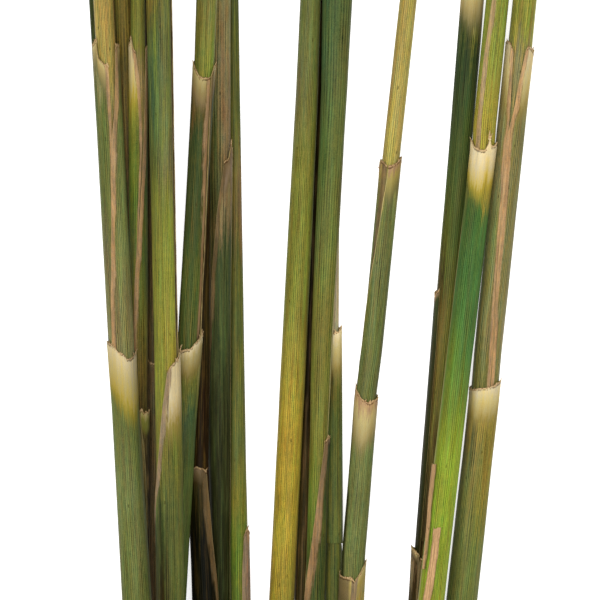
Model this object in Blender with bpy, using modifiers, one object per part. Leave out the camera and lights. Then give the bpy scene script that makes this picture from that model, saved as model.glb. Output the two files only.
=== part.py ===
"""A bunch of cut reeds lying down: hollow stems, the leaf sheaths around them and three torn strips of sheath."""

import math

import bmesh
import bpy

MM = 0.001

# X runs across the bunch, Y along the stems with the tips at +Y, and Z is up.
# Lengths are in millimetres and angles in degrees, 0 at the top of a stem and 90 on its +X side.
STEM_WALL = 0.9
SHEATH_WALL = 0.25
STEM_SIDES = 10
SHEATH_SIDES = 12
STRIP_SIDES = 2
WIDEST_TURN = 45.0

# Colour, linear, and roughness of each material.
MATERIALS = {
    "reed_green": ((0.105, 0.130, 0.040), 0.55),
    "reed_teal": ((0.075, 0.115, 0.070), 0.55),
    "reed_olive": ((0.150, 0.140, 0.040), 0.55),
    "reed_gold": ((0.330, 0.240, 0.085), 0.60),
    "reed_brown": ((0.105, 0.065, 0.028), 0.60),
    "torn_skin": ((0.420, 0.300, 0.170), 0.75),
}

# A stem's path holds the centre (x, y, z) at its bends, from the tip to the foot,
# and its radius holds (y, outer radius).
# A sheath's rows hold (y, outer radius, angle of its first margin, angle of its last margin), mouth first.
# Its rim is the torn edge of its mouth, as (share of the way from the first margin to the last, y).
# A torn strip is a narrow piece of a sheath, with no rim of its own.
STEMS = {
    "stem_left_0": {
        "slot": "reed_green",
        "path": [(-69.7, 120.7, 1.9), (-65.5, 50, 1.9), (-56.4, -120, 1.9)],
        "radius": [(125, 1.87), (-125, 1.83)],
    },
    "stem_left_1": {
        "slot": "reed_gold",
        "path": [(-66.9, 126.7, 6.2), (-59.2, -16.7, 15.5), (-52.6, -126, 19.8)],
        "radius": [(125, 3.33), (-16.7, 3.3), (-40, 3.47), (-125, 4)],
    },
    "stem_left_2": {
        "slot": "reed_olive",
        "path": [(-59.8, 123.3, 3.5), (-59.2, 100, 3.4), (-51.7, -122.7, 2.2)],
        "radius": [(125, 3.23), (80, 3.2), (0, 2.67), (-125, 2.17)],
    },
    "stem_left_3": {
        "slot": "reed_green",
        "path": [(-54.0, 128, 8), (-53.6, -33.3, 9), (-53.2, -124, 9.6)],
        "radius": [(125, 2.33), (85, 2.43), (-33.3, 2.37), (-125, 2.4)],
    },
    "stem_left_4": {
        "slot": "reed_brown",
        "path": [
            (-47.4, 122, 10.3), (-46.9, 100, 12.7), (-44.5, -13.3, 25.2), (-43.4, -66.7, 28.9),
            (-42.6, -128, 33.2),
        ],
        "radius": [(125, 3.6), (-13.3, 3.27), (-125, 3.47)],
    },
    "stem_left_6": {
        "slot": "reed_olive",
        "path": [
            (-30.1, 126, 18.3), (-31.8, 78, 18.4), (-37.1, -15, 18.7), (-40.0, -66.7, 17.3),
            (-43.1, -121.3, 15.8),
        ],
        "radius": [(125, 3.67), (78, 3.33), (-15, 2.97), (-125, 3.2)],
    },
    "stem_left_7": {
        "slot": "reed_olive",
        "path": [
            (-26.3, 123.3, 5.7), (-26.9, 45, 6.9), (-26.9, -46.7, 6.4), (-26.5, -73.3, 6.4),
            (-26.4, -125.3, 6.5),
        ],
        "radius": [(125, 3.2), (45, 3.77), (0, 3.33), (-46.7, 3.13), (-73.3, 2.6), (-125, 2.53)],
    },
    "stem_left_8": {
        "slot": "reed_olive",
        "path": [
            (-22.6, 120, 1.8), (-21.6, 50, 2.5), (-20.7, -50, 3.5), (-20.4, -83.3, 3.8),
            (-19.9, -122.7, 4.2),
        ],
        "radius": [(125, 1.8), (50, 1.93), (-50, 2.7), (-83.3, 3.07), (-125, 3.23)],
    },
    "stem_left_9": {
        "slot": "reed_brown",
        "path": [
            (-32.1, 124.7, 6.3), (-32.3, 45, 12.2), (-33.1, -33.3, 11.6), (-33.3, -55.3, 11.4),
            (-32.1, -83.3, 12.3), (-30.2, -127.3, 13.7),
        ],
        "radius": [(125, 2.1), (20, 2.53), (-10, 2.83), (-51.7, 2.87), (-125, 2.87)],
    },
    "stem_left_10": {
        "slot": "reed_brown",
        "path": [(-49.2, 127.3, 2.9), (-48.3, -19.7, 3.2), (-46.2, -120, 3.5)],
        "radius": [(125, 2.8), (-19.7, 2.6), (-125, 2.6)],
    },
    "stem_mid_1": {
        "slot": "reed_olive",
        "path": [(4.5, 125.3, 9), (2.2, 66.7, 8.3), (-7.3, -123.3, 6.1)],
        "radius": [(125, 3.2), (66.7, 3.7), (0, 4.13), (-125, 4.23)],
    },
    "stem_mid_2": {
        "slot": "reed_teal",
        "path": [
            (13.5, 122, 9.4), (12.4, 100, 9.4), (11.4, 70, 9.3), (7.3, -13.3, 9.2),
            (4.0, -126.7, 9),
        ],
        "radius": [(125, 5.13), (100, 5.07), (70, 4.33), (-13.3, 3.6), (-42.7, 3.1), (-125, 2.93)],
    },
    "stem_mid_3": {
        "slot": "reed_olive",
        "path": [(11.9, 128, 1.9), (11.0, -8.3, 3), (11.3, -80.7, 3.6), (11.0, -120.7, 4)],
        "radius": [(125, 1.83), (-8.3, 1.9), (-81.3, 2.13), (-83.3, 2.9), (-125, 3.03)],
    },
    "stem_mid_4": {
        "slot": "reed_brown",
        "path": [(6.6, 120.7, 2.3), (3.5, 0, 2.4), (-0.2, -124.7, 2.5)],
        "radius": [(125, 2.27), (-125, 2.47)],
    },
    "stem_mid_5": {
        "slot": "reed_green",
        "path": [
            (38.9, 126, 3), (30.1, 45.3, 5.3), (24.0, -16.7, 7), (21.9, -33.3, 7.5),
            (19.3, -66.7, 8.4), (17.9, -83.3, 8.9), (15.5, -128, 10.2),
        ],
        "radius": [(125, 2.87), (45.3, 2.9), (-16.7, 2.73), (-33.3, 2.67), (-125, 3)],
    },
    "stem_right_1": {
        "slot": "reed_olive",
        "path": [
            (59.3, 123.3, 3.8), (55.8, 80, 4.1), (53.3, 50, 4.3), (49.0, 0, 4.6),
            (39.0, -121.3, 5.5),
        ],
        "radius": [(125, 3.2), (50, 2.93), (0, 2.83), (-125, 2.83)],
    },
    "stem_right_2": {
        "slot": "reed_green",
        "path": [
            (68.6, 127.3, 6.6), (63.2, 75, 8.5), (61.5, 58.3, 9.1), (61.0, 50, 9.5),
            (53.2, -16.7, 11.9), (40.6, -125.3, 18.4),
        ],
        "radius": [(125, 3.07), (58.3, 2.93), (-16.7, 3.23), (-125, 3.47)],
    },
    "stem_right_3": {
        "slot": "reed_olive",
        "path": [
            (77.0, 121.3, 4.8), (73.0, 81.7, 4.9), (71.3, 66.7, 5), (62.6, -16.7, 5.3),
            (61.2, -33.3, 5.3), (50.6, -129.3, 5.6),
        ],
        "radius": [(125, 4.13), (-16.7, 3.73), (-125, 4)],
    },
}

SHEATHS = {
    "sheath_left_1_upper": {
        "stem": "stem_left_1",
        "slot": "reed_gold",
        "rows": [
            (80, 4.5, 44, 365), (66.7, 4.5, 27, 369), (50, 4.5, 9, 363),
            (25, 4.47, -6, 349), (-9.3, 4.4, -32, 324), (-16.7, 4.1, -33, 323),
            (-31.7, 3.97, -36, 320),
        ],
        "rim": [(0, 84), (0.12, 85), (0.4, 86), (0.7, 85.7), (0.82, 83.3), (0.9, 80), (1, 77.3)],
    },
    "sheath_left_1_lower": {
        "stem": "stem_left_1",
        "slot": "reed_green",
        "rows": [
            (-16.7, 4.8, -162, 162), (-33.3, 4.53, -165, 165), (-66.7, 4.7, -169, 169),
            (-100, 5, -172, 172), (-126, 5.07, -172, 172),
        ],
        "rim": [(0, -15), (0.25, -13.7), (0.4, -16), (0.58, -19.3), (0.72, -17.7), (1, -15)],
    },
    "sheath_left_3_upper": {
        "stem": "stem_left_3",
        "slot": "reed_green",
        "rows": [
            (83.3, 3.13, 54, 333), (75, 3.17, 49, 373), (50, 3.17, 35, 385),
            (25, 3.13, 12, 363), (0, 3.13, -12, 340), (-31.7, 2.93, -32, 318),
            (-46.7, 2.93, -36, 314),
        ],
        "rim": [(0, 83), (0.12, 84), (0.5, 85.3), (0.85, 86.7), (0.92, 87), (0.96, 84), (1, 83)],
    },
    "sheath_left_3_lower": {
        "stem": "stem_left_3",
        "slot": "reed_green",
        "rows": [
            (-36.7, 3.5, 4, 354), (-50, 3.5, 33, 385), (-73.3, 3.53, 46, 398),
            (-124, 3.6, 48, 400),
        ],
        "rim": [(0, -37.3), (0.2, -37), (0.4, -36), (0.7, -35), (0.9, -34.7), (1, -35)],
    },
    "sheath_left_10": {
        "stem": "stem_left_10",
        "slot": "reed_brown",
        "rows": [(-20.7, 3.2, -165, 165), (-50, 3.23, -170, 170), (-120, 3.27, -172, 172)],
        "rim": [(0, -20), (0.3, -20), (0.5, -21.3), (0.75, -20.7), (1, -20)],
    },
    "sheath_left_4_upper": {
        "stem": "stem_left_4",
        "slot": "reed_green",
        "rows": [
            (122, 4.3, 80, 426), (66.7, 4.17, 78, 425), (16.7, 4.03, 76, 424),
            (-13.3, 3.97, 74, 422), (-80, 4.1, 150, 496),
        ],
        "rim": [],
    },
    "sheath_left_4_lower": {
        "stem": "stem_left_4",
        "slot": "reed_green",
        "rows": [
            (-22, 4.87, 9, 182), (-33.3, 4.87, -17, 190), (-50, 4.83, -38, 206),
            (-60, 4.83, -56, 222), (-80, 4.73, -110, 236), (-128, 4.73, -118, 234),
        ],
        "rim": [(0, -23.7), (0.2, -20.3), (0.45, -16.7), (0.7, -17.3), (1, -19.3)],
    },
    "sheath_left_6_upper": {
        "stem": "stem_left_6",
        "slot": "reed_olive",
        "rows": [
            (74.7, 3.87, 46, 395), (63.3, 3.73, 50, 402), (33.3, 3.63, 64, 416),
            (-10, 3.7, 82, 434), (-31.7, 3.5, 84, 436),
        ],
        "rim": [(0, 75.3), (0.12, 78), (0.4, 79), (0.7, 79), (0.8, 77.7), (0.9, 74.3), (1, 73.3)],
    },
    "sheath_left_6_lower": {
        "stem": "stem_left_6",
        "slot": "reed_teal",
        "rows": [
            (-15, 4.67, -160, 160), (-28.3, 4.47, -165, 165), (-36.7, 4.17, -168, 168),
            (-66.7, 4.17, -171, 171), (-121.3, 3.97, -172, 172),
        ],
        "rim": [(0, -15), (0.3, -17.3), (0.5, -16.7), (0.62, -14), (0.74, -11.3), (1, -13.3)],
    },
    "sheath_left_7": {
        "stem": "stem_left_7",
        "slot": "reed_brown",
        "rows": [
            (46.7, 4.47, 26, 200), (33.3, 4.4, -5, 210), (0, 3.93, -46, 237),
            (-46.7, 3.77, -98, 248), (-73.3, 3.2, -100, 250), (-125.3, 3.17, -100, 250),
        ],
        "rim": [(0, 46), (0.18, 46.7), (0.32, 50.7), (0.42, 49.3), (1, 47.3)],
    },
    "sheath_left_8": {
        "stem": "stem_left_8",
        "slot": "reed_gold",
        "rows": [(-78.7, 3.7, 30, 200), (-90, 3.8, 17, 205), (-122.7, 3.93, 14, 210)],
        "rim": [(0, -78.7), (0.15, -76), (0.3, -77), (1, -78)],
    },
    "sheath_left_9": {
        "stem": "stem_left_9",
        "slot": "reed_brown",
        "rows": [
            (-55.3, 4.13, -172, 30), (-63.3, 4.23, -180, 35), (-83.3, 4.3, -210, 54),
            (-103.3, 4.43, -248, 90), (-127.3, 4.5, -225, 120),
        ],
        "rim": [(0, -54.3), (0.4, -54.3), (0.75, -55.7), (0.94, -56.3), (1, -57)],
    },
    "sheath_mid_2": {
        "stem": "stem_mid_2",
        "slot": "reed_green",
        "rows": [
            (-45.3, 3.63, 36, 205), (-66.7, 3.63, -2, 216), (-86.7, 3.57, -32, 240),
            (-106.7, 3.53, -90, 255), (-126.7, 3.53, -95, 254),
        ],
        "rim": [(0, -46.7), (0.2, -45.3), (0.35, -44.7), (1, -46)],
    },
    "sheath_mid_3": {
        "stem": "stem_mid_3",
        "slot": "reed_green",
        "rows": [
            (-10, 3, -160, 160), (-33.3, 3, -167, 167), (-73.3, 3, -172, 172),
            (-81, 2.9, -172, 172),
        ],
        "rim": [(0, -9.3), (0.35, -10.7), (0.55, -11), (0.75, -9), (1, -9.3)],
    },
    "sheath_mid_5_upper": {
        "stem": "stem_mid_5",
        "slot": "reed_green",
        "rows": [
            (45.3, 3.63, -4, 344), (33.3, 3.53, -12, 338), (23.3, 3.47, -20, 330),
            (6.7, 3.43, -45, 306), (-16.7, 3.4, -67, 285), (-33.3, 3.33, -80, 273),
            (-41.7, 3.23, -85, 268),
        ],
        "rim": [
            (0, 44.7), (0.1, 45), (0.18, 45.7), (0.28, 47.7), (0.5, 47.3), (0.74, 46.7),
            (0.78, 44.7), (0.9, 45.7), (1, 44),
        ],
    },
    "sheath_mid_5_middle": {
        "stem": "stem_mid_5",
        "slot": "reed_olive",
        "rows": [
            (-30.7, 4, -158, 158), (-50, 3.87, -165, 165), (-83.3, 4, -171, 171),
            (-100, 3.67, -171, 171),
        ],
        "rim": [(0, -30), (0.22, -28), (0.32, -30.3), (0.4, -32.3), (0.5, -34), (0.7, -33), (1, -30.3)],
    },
    "sheath_mid_5_lower": {
        "stem": "stem_mid_5",
        "slot": "reed_olive",
        "rows": [(-90.7, 4.4, 18, 370), (-106.7, 4.37, 17, 371), (-128, 4.37, 17, 371)],
        "rim": [
            (0, -93.7), (0.07, -91), (0.22, -86.3), (0.5, -88.7), (0.74, -91), (0.9, -92),
            (0.95, -92.3), (1, -93.7),
        ],
    },
    "sheath_right_1_upper": {
        "stem": "stem_right_1",
        "slot": "reed_teal",
        "rows": [
            (102.3, 3.93, -160, 160), (80, 3.97, -166, 166), (50, 3.83, -170, 170),
            (8.3, 3.77, -171, 171), (-13.3, 3.57, -171, 171), (-80.3, 3.47, -171, 171),
        ],
        "rim": [(0, 102.7), (0.3, 103.7), (0.5, 101.7), (0.7, 103), (1, 103.3)],
    },
    "sheath_right_1_middle": {
        "stem": "stem_right_1",
        "slot": "reed_olive",
        "rows": [
            (2.7, 4.33, 190, 320), (-16.7, 4.23, 185, 324), (-50, 4.17, 182, 325),
            (-81.7, 4.03, 180, 326), (-100, 3.93, 178, 326),
        ],
        "rim": [(0, 3.3), (0.5, 3), (0.7, 1.3), (0.8, 2), (1, 3.7)],
    },
    "sheath_right_1_lower": {
        "stem": "stem_right_1",
        "slot": "reed_olive",
        "rows": [(-84, 5.2, -17, 330), (-91.7, 4.8, -17, 336), (-121.3, 4.67, -17, 338)],
        "rim": [(0, -86.3), (0.3, -85.3), (0.6, -83.3), (0.8, -82), (0.95, -84.3), (1, -85.3)],
    },
    "sheath_right_2_upper": {
        "stem": "stem_right_2",
        "slot": "reed_olive",
        "rows": [
            (127.3, 3.83, -14, 334), (100, 3.8, -16, 338), (76.7, 3.83, -31, 323),
            (53.3, 3.8, -31, 323), (36.7, 3.77, -31, 323),
        ],
        "rim": [],
    },
    "sheath_right_2_lower": {
        "stem": "stem_right_2",
        "slot": "reed_green",
        "rows": [
            (51.3, 4.5, -160, 160), (33.3, 4.33, -167, 167), (-16.7, 4.37, -171, 171),
            (-66.7, 4.37, -172, 172), (-125.3, 4.43, -172, 172),
        ],
        "rim": [
            (0, 52), (0.22, 52.7), (0.35, 50.7), (0.48, 49.7), (0.55, 53.3), (0.62, 51),
            (0.78, 52.3), (1, 52),
        ],
    },
    "sheath_right_3_upper": {
        "stem": "stem_right_3",
        "slot": "reed_olive",
        "rows": [
            (81.7, 4.87, 28, 336), (75, 4.83, 9, 339), (66.7, 4.8, 5, 344),
            (58.3, 4.77, 1, 352), (50, 4.73, -8, 344), (33.3, 4.7, 4, 356),
            (0, 4.63, 15, 368), (-16.7, 4.53, 29, 381), (-46.7, 4.4, 32, 384),
        ],
        "rim": [(0, 82.7), (0.1, 84), (0.4, 85.3), (0.85, 86), (0.93, 85.3), (1, 82.7)],
    },
    "sheath_right_3_lower": {
        "stem": "stem_right_3",
        "slot": "reed_olive",
        "rows": [
            (-28.7, 5.23, -160, 160), (-50, 5.07, -166, 166), (-73.3, 5.17, -171, 171),
            (-129.3, 5.2, -172, 172),
        ],
        "rim": [(0, -28), (0.33, -29.7), (0.5, -29.3), (0.62, -28.3), (0.74, -26.7), (1, -27.7)],
    },
}

TORN_STRIPS = {
    "torn_strip_1": {
        "stem": "stem_right_2",
        "slot": "torn_skin",
        "rows": [
            (-54.7, 4.97, -90, -46), (-68.3, 4.97, -70, -47), (-78.3, 4.97, -58, -37),
            (-89.3, 4.97, -56, -45),
        ],
        "rim": [],
    },
    "torn_strip_2": {
        "stem": "stem_right_2",
        "slot": "torn_skin",
        "rows": [(-76, 5.53, -49, -37), (-84.3, 5.53, -48, -38)],
        "rim": [],
    },
    "torn_strip_3": {
        "stem": "stem_right_2",
        "slot": "torn_skin",
        "rows": [(-75.7, 5, -22, 6), (-88.3, 5, -24, 5), (-103.3, 5, -36, -6), (-116.7, 5, -38, -16)],
        "rim": [],
    },
}


def at(table, y, column):
    """The value of a column of a table whose rows start with a falling y."""
    if y >= table[0][0]:
        return table[0][column]
    for above, below in zip(table, table[1:]):
        if y >= below[0]:
            share = (above[0] - y) / (above[0] - below[0])
            return above[column] + share * (below[column] - above[column])
    return table[-1][column]


def rim_height(rim, share):
    """The y of a sheath's torn edge at a share of the way around it."""
    for before, after in zip(rim, rim[1:]):
        if share <= after[0]:
            part = (share - before[0]) / (after[0] - before[0])
            return before[1] + part * (after[1] - before[1])
    return rim[-1][1]


def around(path, radius, degrees, y):
    """A point of a stem's skin, in metres."""
    line = [(point[1], point[0], point[2]) for point in path]
    turn = math.radians(degrees)
    x = at(line, y, 1) + radius * math.sin(turn)
    z = at(line, y, 2) + radius * math.cos(turn)
    return (x * MM, y * MM, z * MM)


def make_materials():
    materials = {}
    for name, (colour, roughness) in MATERIALS.items():
        material = bpy.data.materials.new(name)
        material.use_nodes = True
        shader = material.node_tree.nodes["Principled BSDF"]
        shader.inputs["Base Color"].default_value = (*colour, 1.0)
        shader.inputs["Roughness"].default_value = roughness
        shader.inputs["Metallic"].default_value = 0.0
        material.diffuse_color = (*colour, 1.0)
        materials[name] = material
    return materials


def rolled_skin(name, sides, rows, place, wall, material, collection):
    """A grid rolled into a skin by place(share around, row), then thickened inward."""
    bm = bmesh.new()
    bmesh.ops.create_grid(bm, x_segments=sides, y_segments=rows - 1, size=0.5)
    for vert in bm.verts:
        vert.co = place(vert.co.x + 0.5, round((0.5 - vert.co.y) * (rows - 1)))
    bmesh.ops.remove_doubles(bm, verts=bm.verts, dist=0.00001)
    mesh = bpy.data.meshes.new(name)
    bm.to_mesh(mesh)
    bm.free()
    mesh.materials.append(material)
    obj = bpy.data.objects.new(name, mesh)
    collection.objects.link(obj)
    solid = obj.modifiers.new("wall", "SOLIDIFY")
    solid.thickness = wall * MM
    solid.offset = -1.0
    solid.use_even_offset = True
    return obj


def make_stem(name, stem, materials, collection):
    """The hollow stem, open at both cut ends."""
    path = stem["path"]
    tip = path[0][1]
    foot = path[-1][1]
    bends = [point[1] for point in path]
    swells = [y for y, radius in stem["radius"] if foot < y < tip]
    levels = sorted(set(bends + swells), reverse=True)

    def place(share, row):
        y = levels[row]
        return around(path, at(stem["radius"], y, 1), 180 + 360 * share, y)

    return rolled_skin(
        name, STEM_SIDES, len(levels), place, STEM_WALL, materials[stem["slot"]], collection
    )


def finer(rows):
    """The rows with halfway rows added where a margin turns far from one row to the next."""
    fine = [rows[0]]
    for row in rows[1:]:
        before = fine[-1]
        turn = max(abs(row[2] - before[2]), abs(row[3] - before[3]))
        steps = math.ceil(turn / WIDEST_TURN) or 1
        for step in range(1, steps + 1):
            share = step / steps
            fine.append(tuple(a + share * (b - a) for a, b in zip(before, row)))
    return fine


def make_sheath(name, sheath, sides, materials, collection):
    """A sheath, or a strip of one, rolled from its first margin around to its last."""
    path = STEMS[sheath["stem"]]["path"]
    rows = finer(sheath["rows"])

    def place(share, row):
        y, radius, first, last = rows[row]
        if row == 0 and sheath["rim"]:
            y = rim_height(sheath["rim"], share)
        return around(path, radius, first + share * (last - first), y)

    return rolled_skin(
        name, sides, len(rows), place, SHEATH_WALL, materials[sheath["slot"]], collection
    )


def centre_on_base(objects):
    """Puts the middle of the bunch over the origin and its lowest point on the floor."""
    bpy.context.view_layer.update()
    graph = bpy.context.evaluated_depsgraph_get()
    points = []
    for obj in objects:
        mesh = obj.evaluated_get(graph).data
        points.extend(vert.co.copy() for vert in mesh.vertices)
    low = [min(point[axis] for point in points) for axis in range(3)]
    high = [max(point[axis] for point in points) for axis in range(3)]
    shift = (-(low[0] + high[0]) / 2, -(low[1] + high[1]) / 2, -low[2])
    for obj in objects:
        for vert in obj.data.vertices:
            for axis in range(3):
                vert.co[axis] += shift[axis]


def main():
    for obj in list(bpy.data.objects):
        bpy.data.objects.remove(obj, do_unlink=True)
    collection = bpy.data.collections.new("reed_bunch")
    bpy.context.scene.collection.children.link(collection)
    materials = make_materials()
    objects = []
    for name, stem in STEMS.items():
        objects.append(make_stem(name, stem, materials, collection))
    for name, sheath in SHEATHS.items():
        objects.append(make_sheath(name, sheath, SHEATH_SIDES, materials, collection))
    for name, strip in TORN_STRIPS.items():
        objects.append(make_sheath(name, strip, STRIP_SIDES, materials, collection))
    centre_on_base(objects)


main()
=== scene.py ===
"""A bunch of cut reeds lying down: its stems, leaf sheaths and torn strips, with skins and torn mouths."""

import math

import bpy
import numpy as np
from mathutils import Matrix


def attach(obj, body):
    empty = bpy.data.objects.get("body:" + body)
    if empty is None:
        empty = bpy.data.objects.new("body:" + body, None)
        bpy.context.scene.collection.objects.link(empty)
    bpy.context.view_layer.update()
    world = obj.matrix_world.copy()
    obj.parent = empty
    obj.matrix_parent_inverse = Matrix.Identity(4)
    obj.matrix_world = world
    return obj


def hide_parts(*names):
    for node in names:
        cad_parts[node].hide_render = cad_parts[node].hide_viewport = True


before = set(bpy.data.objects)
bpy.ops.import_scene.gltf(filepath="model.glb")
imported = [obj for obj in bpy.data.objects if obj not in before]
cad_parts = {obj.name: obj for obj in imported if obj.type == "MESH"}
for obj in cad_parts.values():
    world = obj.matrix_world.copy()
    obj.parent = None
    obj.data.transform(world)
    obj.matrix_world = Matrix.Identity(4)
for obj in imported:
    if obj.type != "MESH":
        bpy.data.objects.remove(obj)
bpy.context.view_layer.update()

MM = 0.001

# Lengths are in millimetres and angles in degrees, 0 at the top of a stem and 90 on its +X side.
# The tables are drawn about the middle of the view, and CENTRING moves them into the part's frame.
CENTRING = (-4.72, 0.69, 0.01)
STEM_WALL = 0.9
SHEATH_WALL = 0.25
SHRED_WALL = 0.13
STRIP_WALL = 0.22
STEM_COLUMNS = 44
SHEATH_COLUMNS = 56
ROW_STEP = 3.0
STRIP_ROW_STEP = 0.8
MOUTH_ROWS = [0, 0.2, 0.4, 0.65, 0.95, 1.3, 1.7, 2.2, 2.9, 3.8, 5.0, 6.6, 8.6]
SHREDS_AT_A_MOUTH = 8
SMOOTH_BELOW = 50

# A sheath that reaches this many degrees round its stem laps one edge over the other.
CLOSED_FROM = 344
LAP = 9
LAP_LIFT = 0.34
LAP_TUCK = 0.05
EDGE_LIFT = 0.10

# Veins, and the relief and shine of the skins.
VEIN_PITCH = 0.66
SKIN_RELIEF = 0.045
DRY_RELIEF = 0.05
SHINE = 0.04

# The floor, the light and the camera, in metres and watts.
FLOOR_SIZE = 6.0
FLOOR_WHITE = 0.75
FLOOR_GLOW = 0.70
SKY = 0.65
SOFTBOX_PLACE = (-0.15, 0.12, 1.8)
SOFTBOX_SIZE = 2.0
SOFTBOX_POWER = 42.0
CAMERA_HEIGHT = 5.0
CAMERA_LENS = 900.0

# The brightness that a white matt surface facing up shows, so that a tone comes out as it is named.
LIGHT_LEVEL = 1.52
SHEEN = 0.004

# Tones as they look in the light, each part from 0 to 255.
TONES = {
    "cream": (228, 208, 160),
    "straw": (203, 184, 122),
    "buff": (176, 156, 100),
    "amber": (168, 146, 78),
    "gold": (170, 148, 54),
    "mustard": (150, 134, 56),
    "pear": (138, 144, 62),
    "sunolive": (128, 127, 54),
    "olive": (112, 110, 50),
    "khaki": (118, 112, 70),
    "moss": (98, 103, 54),
    "leaf": (86, 98, 50),
    "sage": (116, 121, 70),
    "teal": (74, 92, 56),
    "emerald": (78, 112, 56),
    "lime": (112, 133, 52),
    "spring": (146, 164, 54),
    "forest": (66, 74, 42),
    "deep": (50, 51, 29),
    "black_green": (29, 29, 14),
    "umber": (66, 55, 30),
    "russet": (104, 88, 42),
    "bark": (128, 108, 74),
    "mauve": (150, 127, 98),
    "pink_tan": (182, 145, 103),
    "peach": (220, 184, 134),
    "rose_brown": (124, 101, 68),
    "culm_gold": (172, 154, 84),
    "maroon": (84, 58, 34),
    "dark_brown": (40, 29, 13),
    "rim_brown": (128, 92, 56),
}

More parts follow.
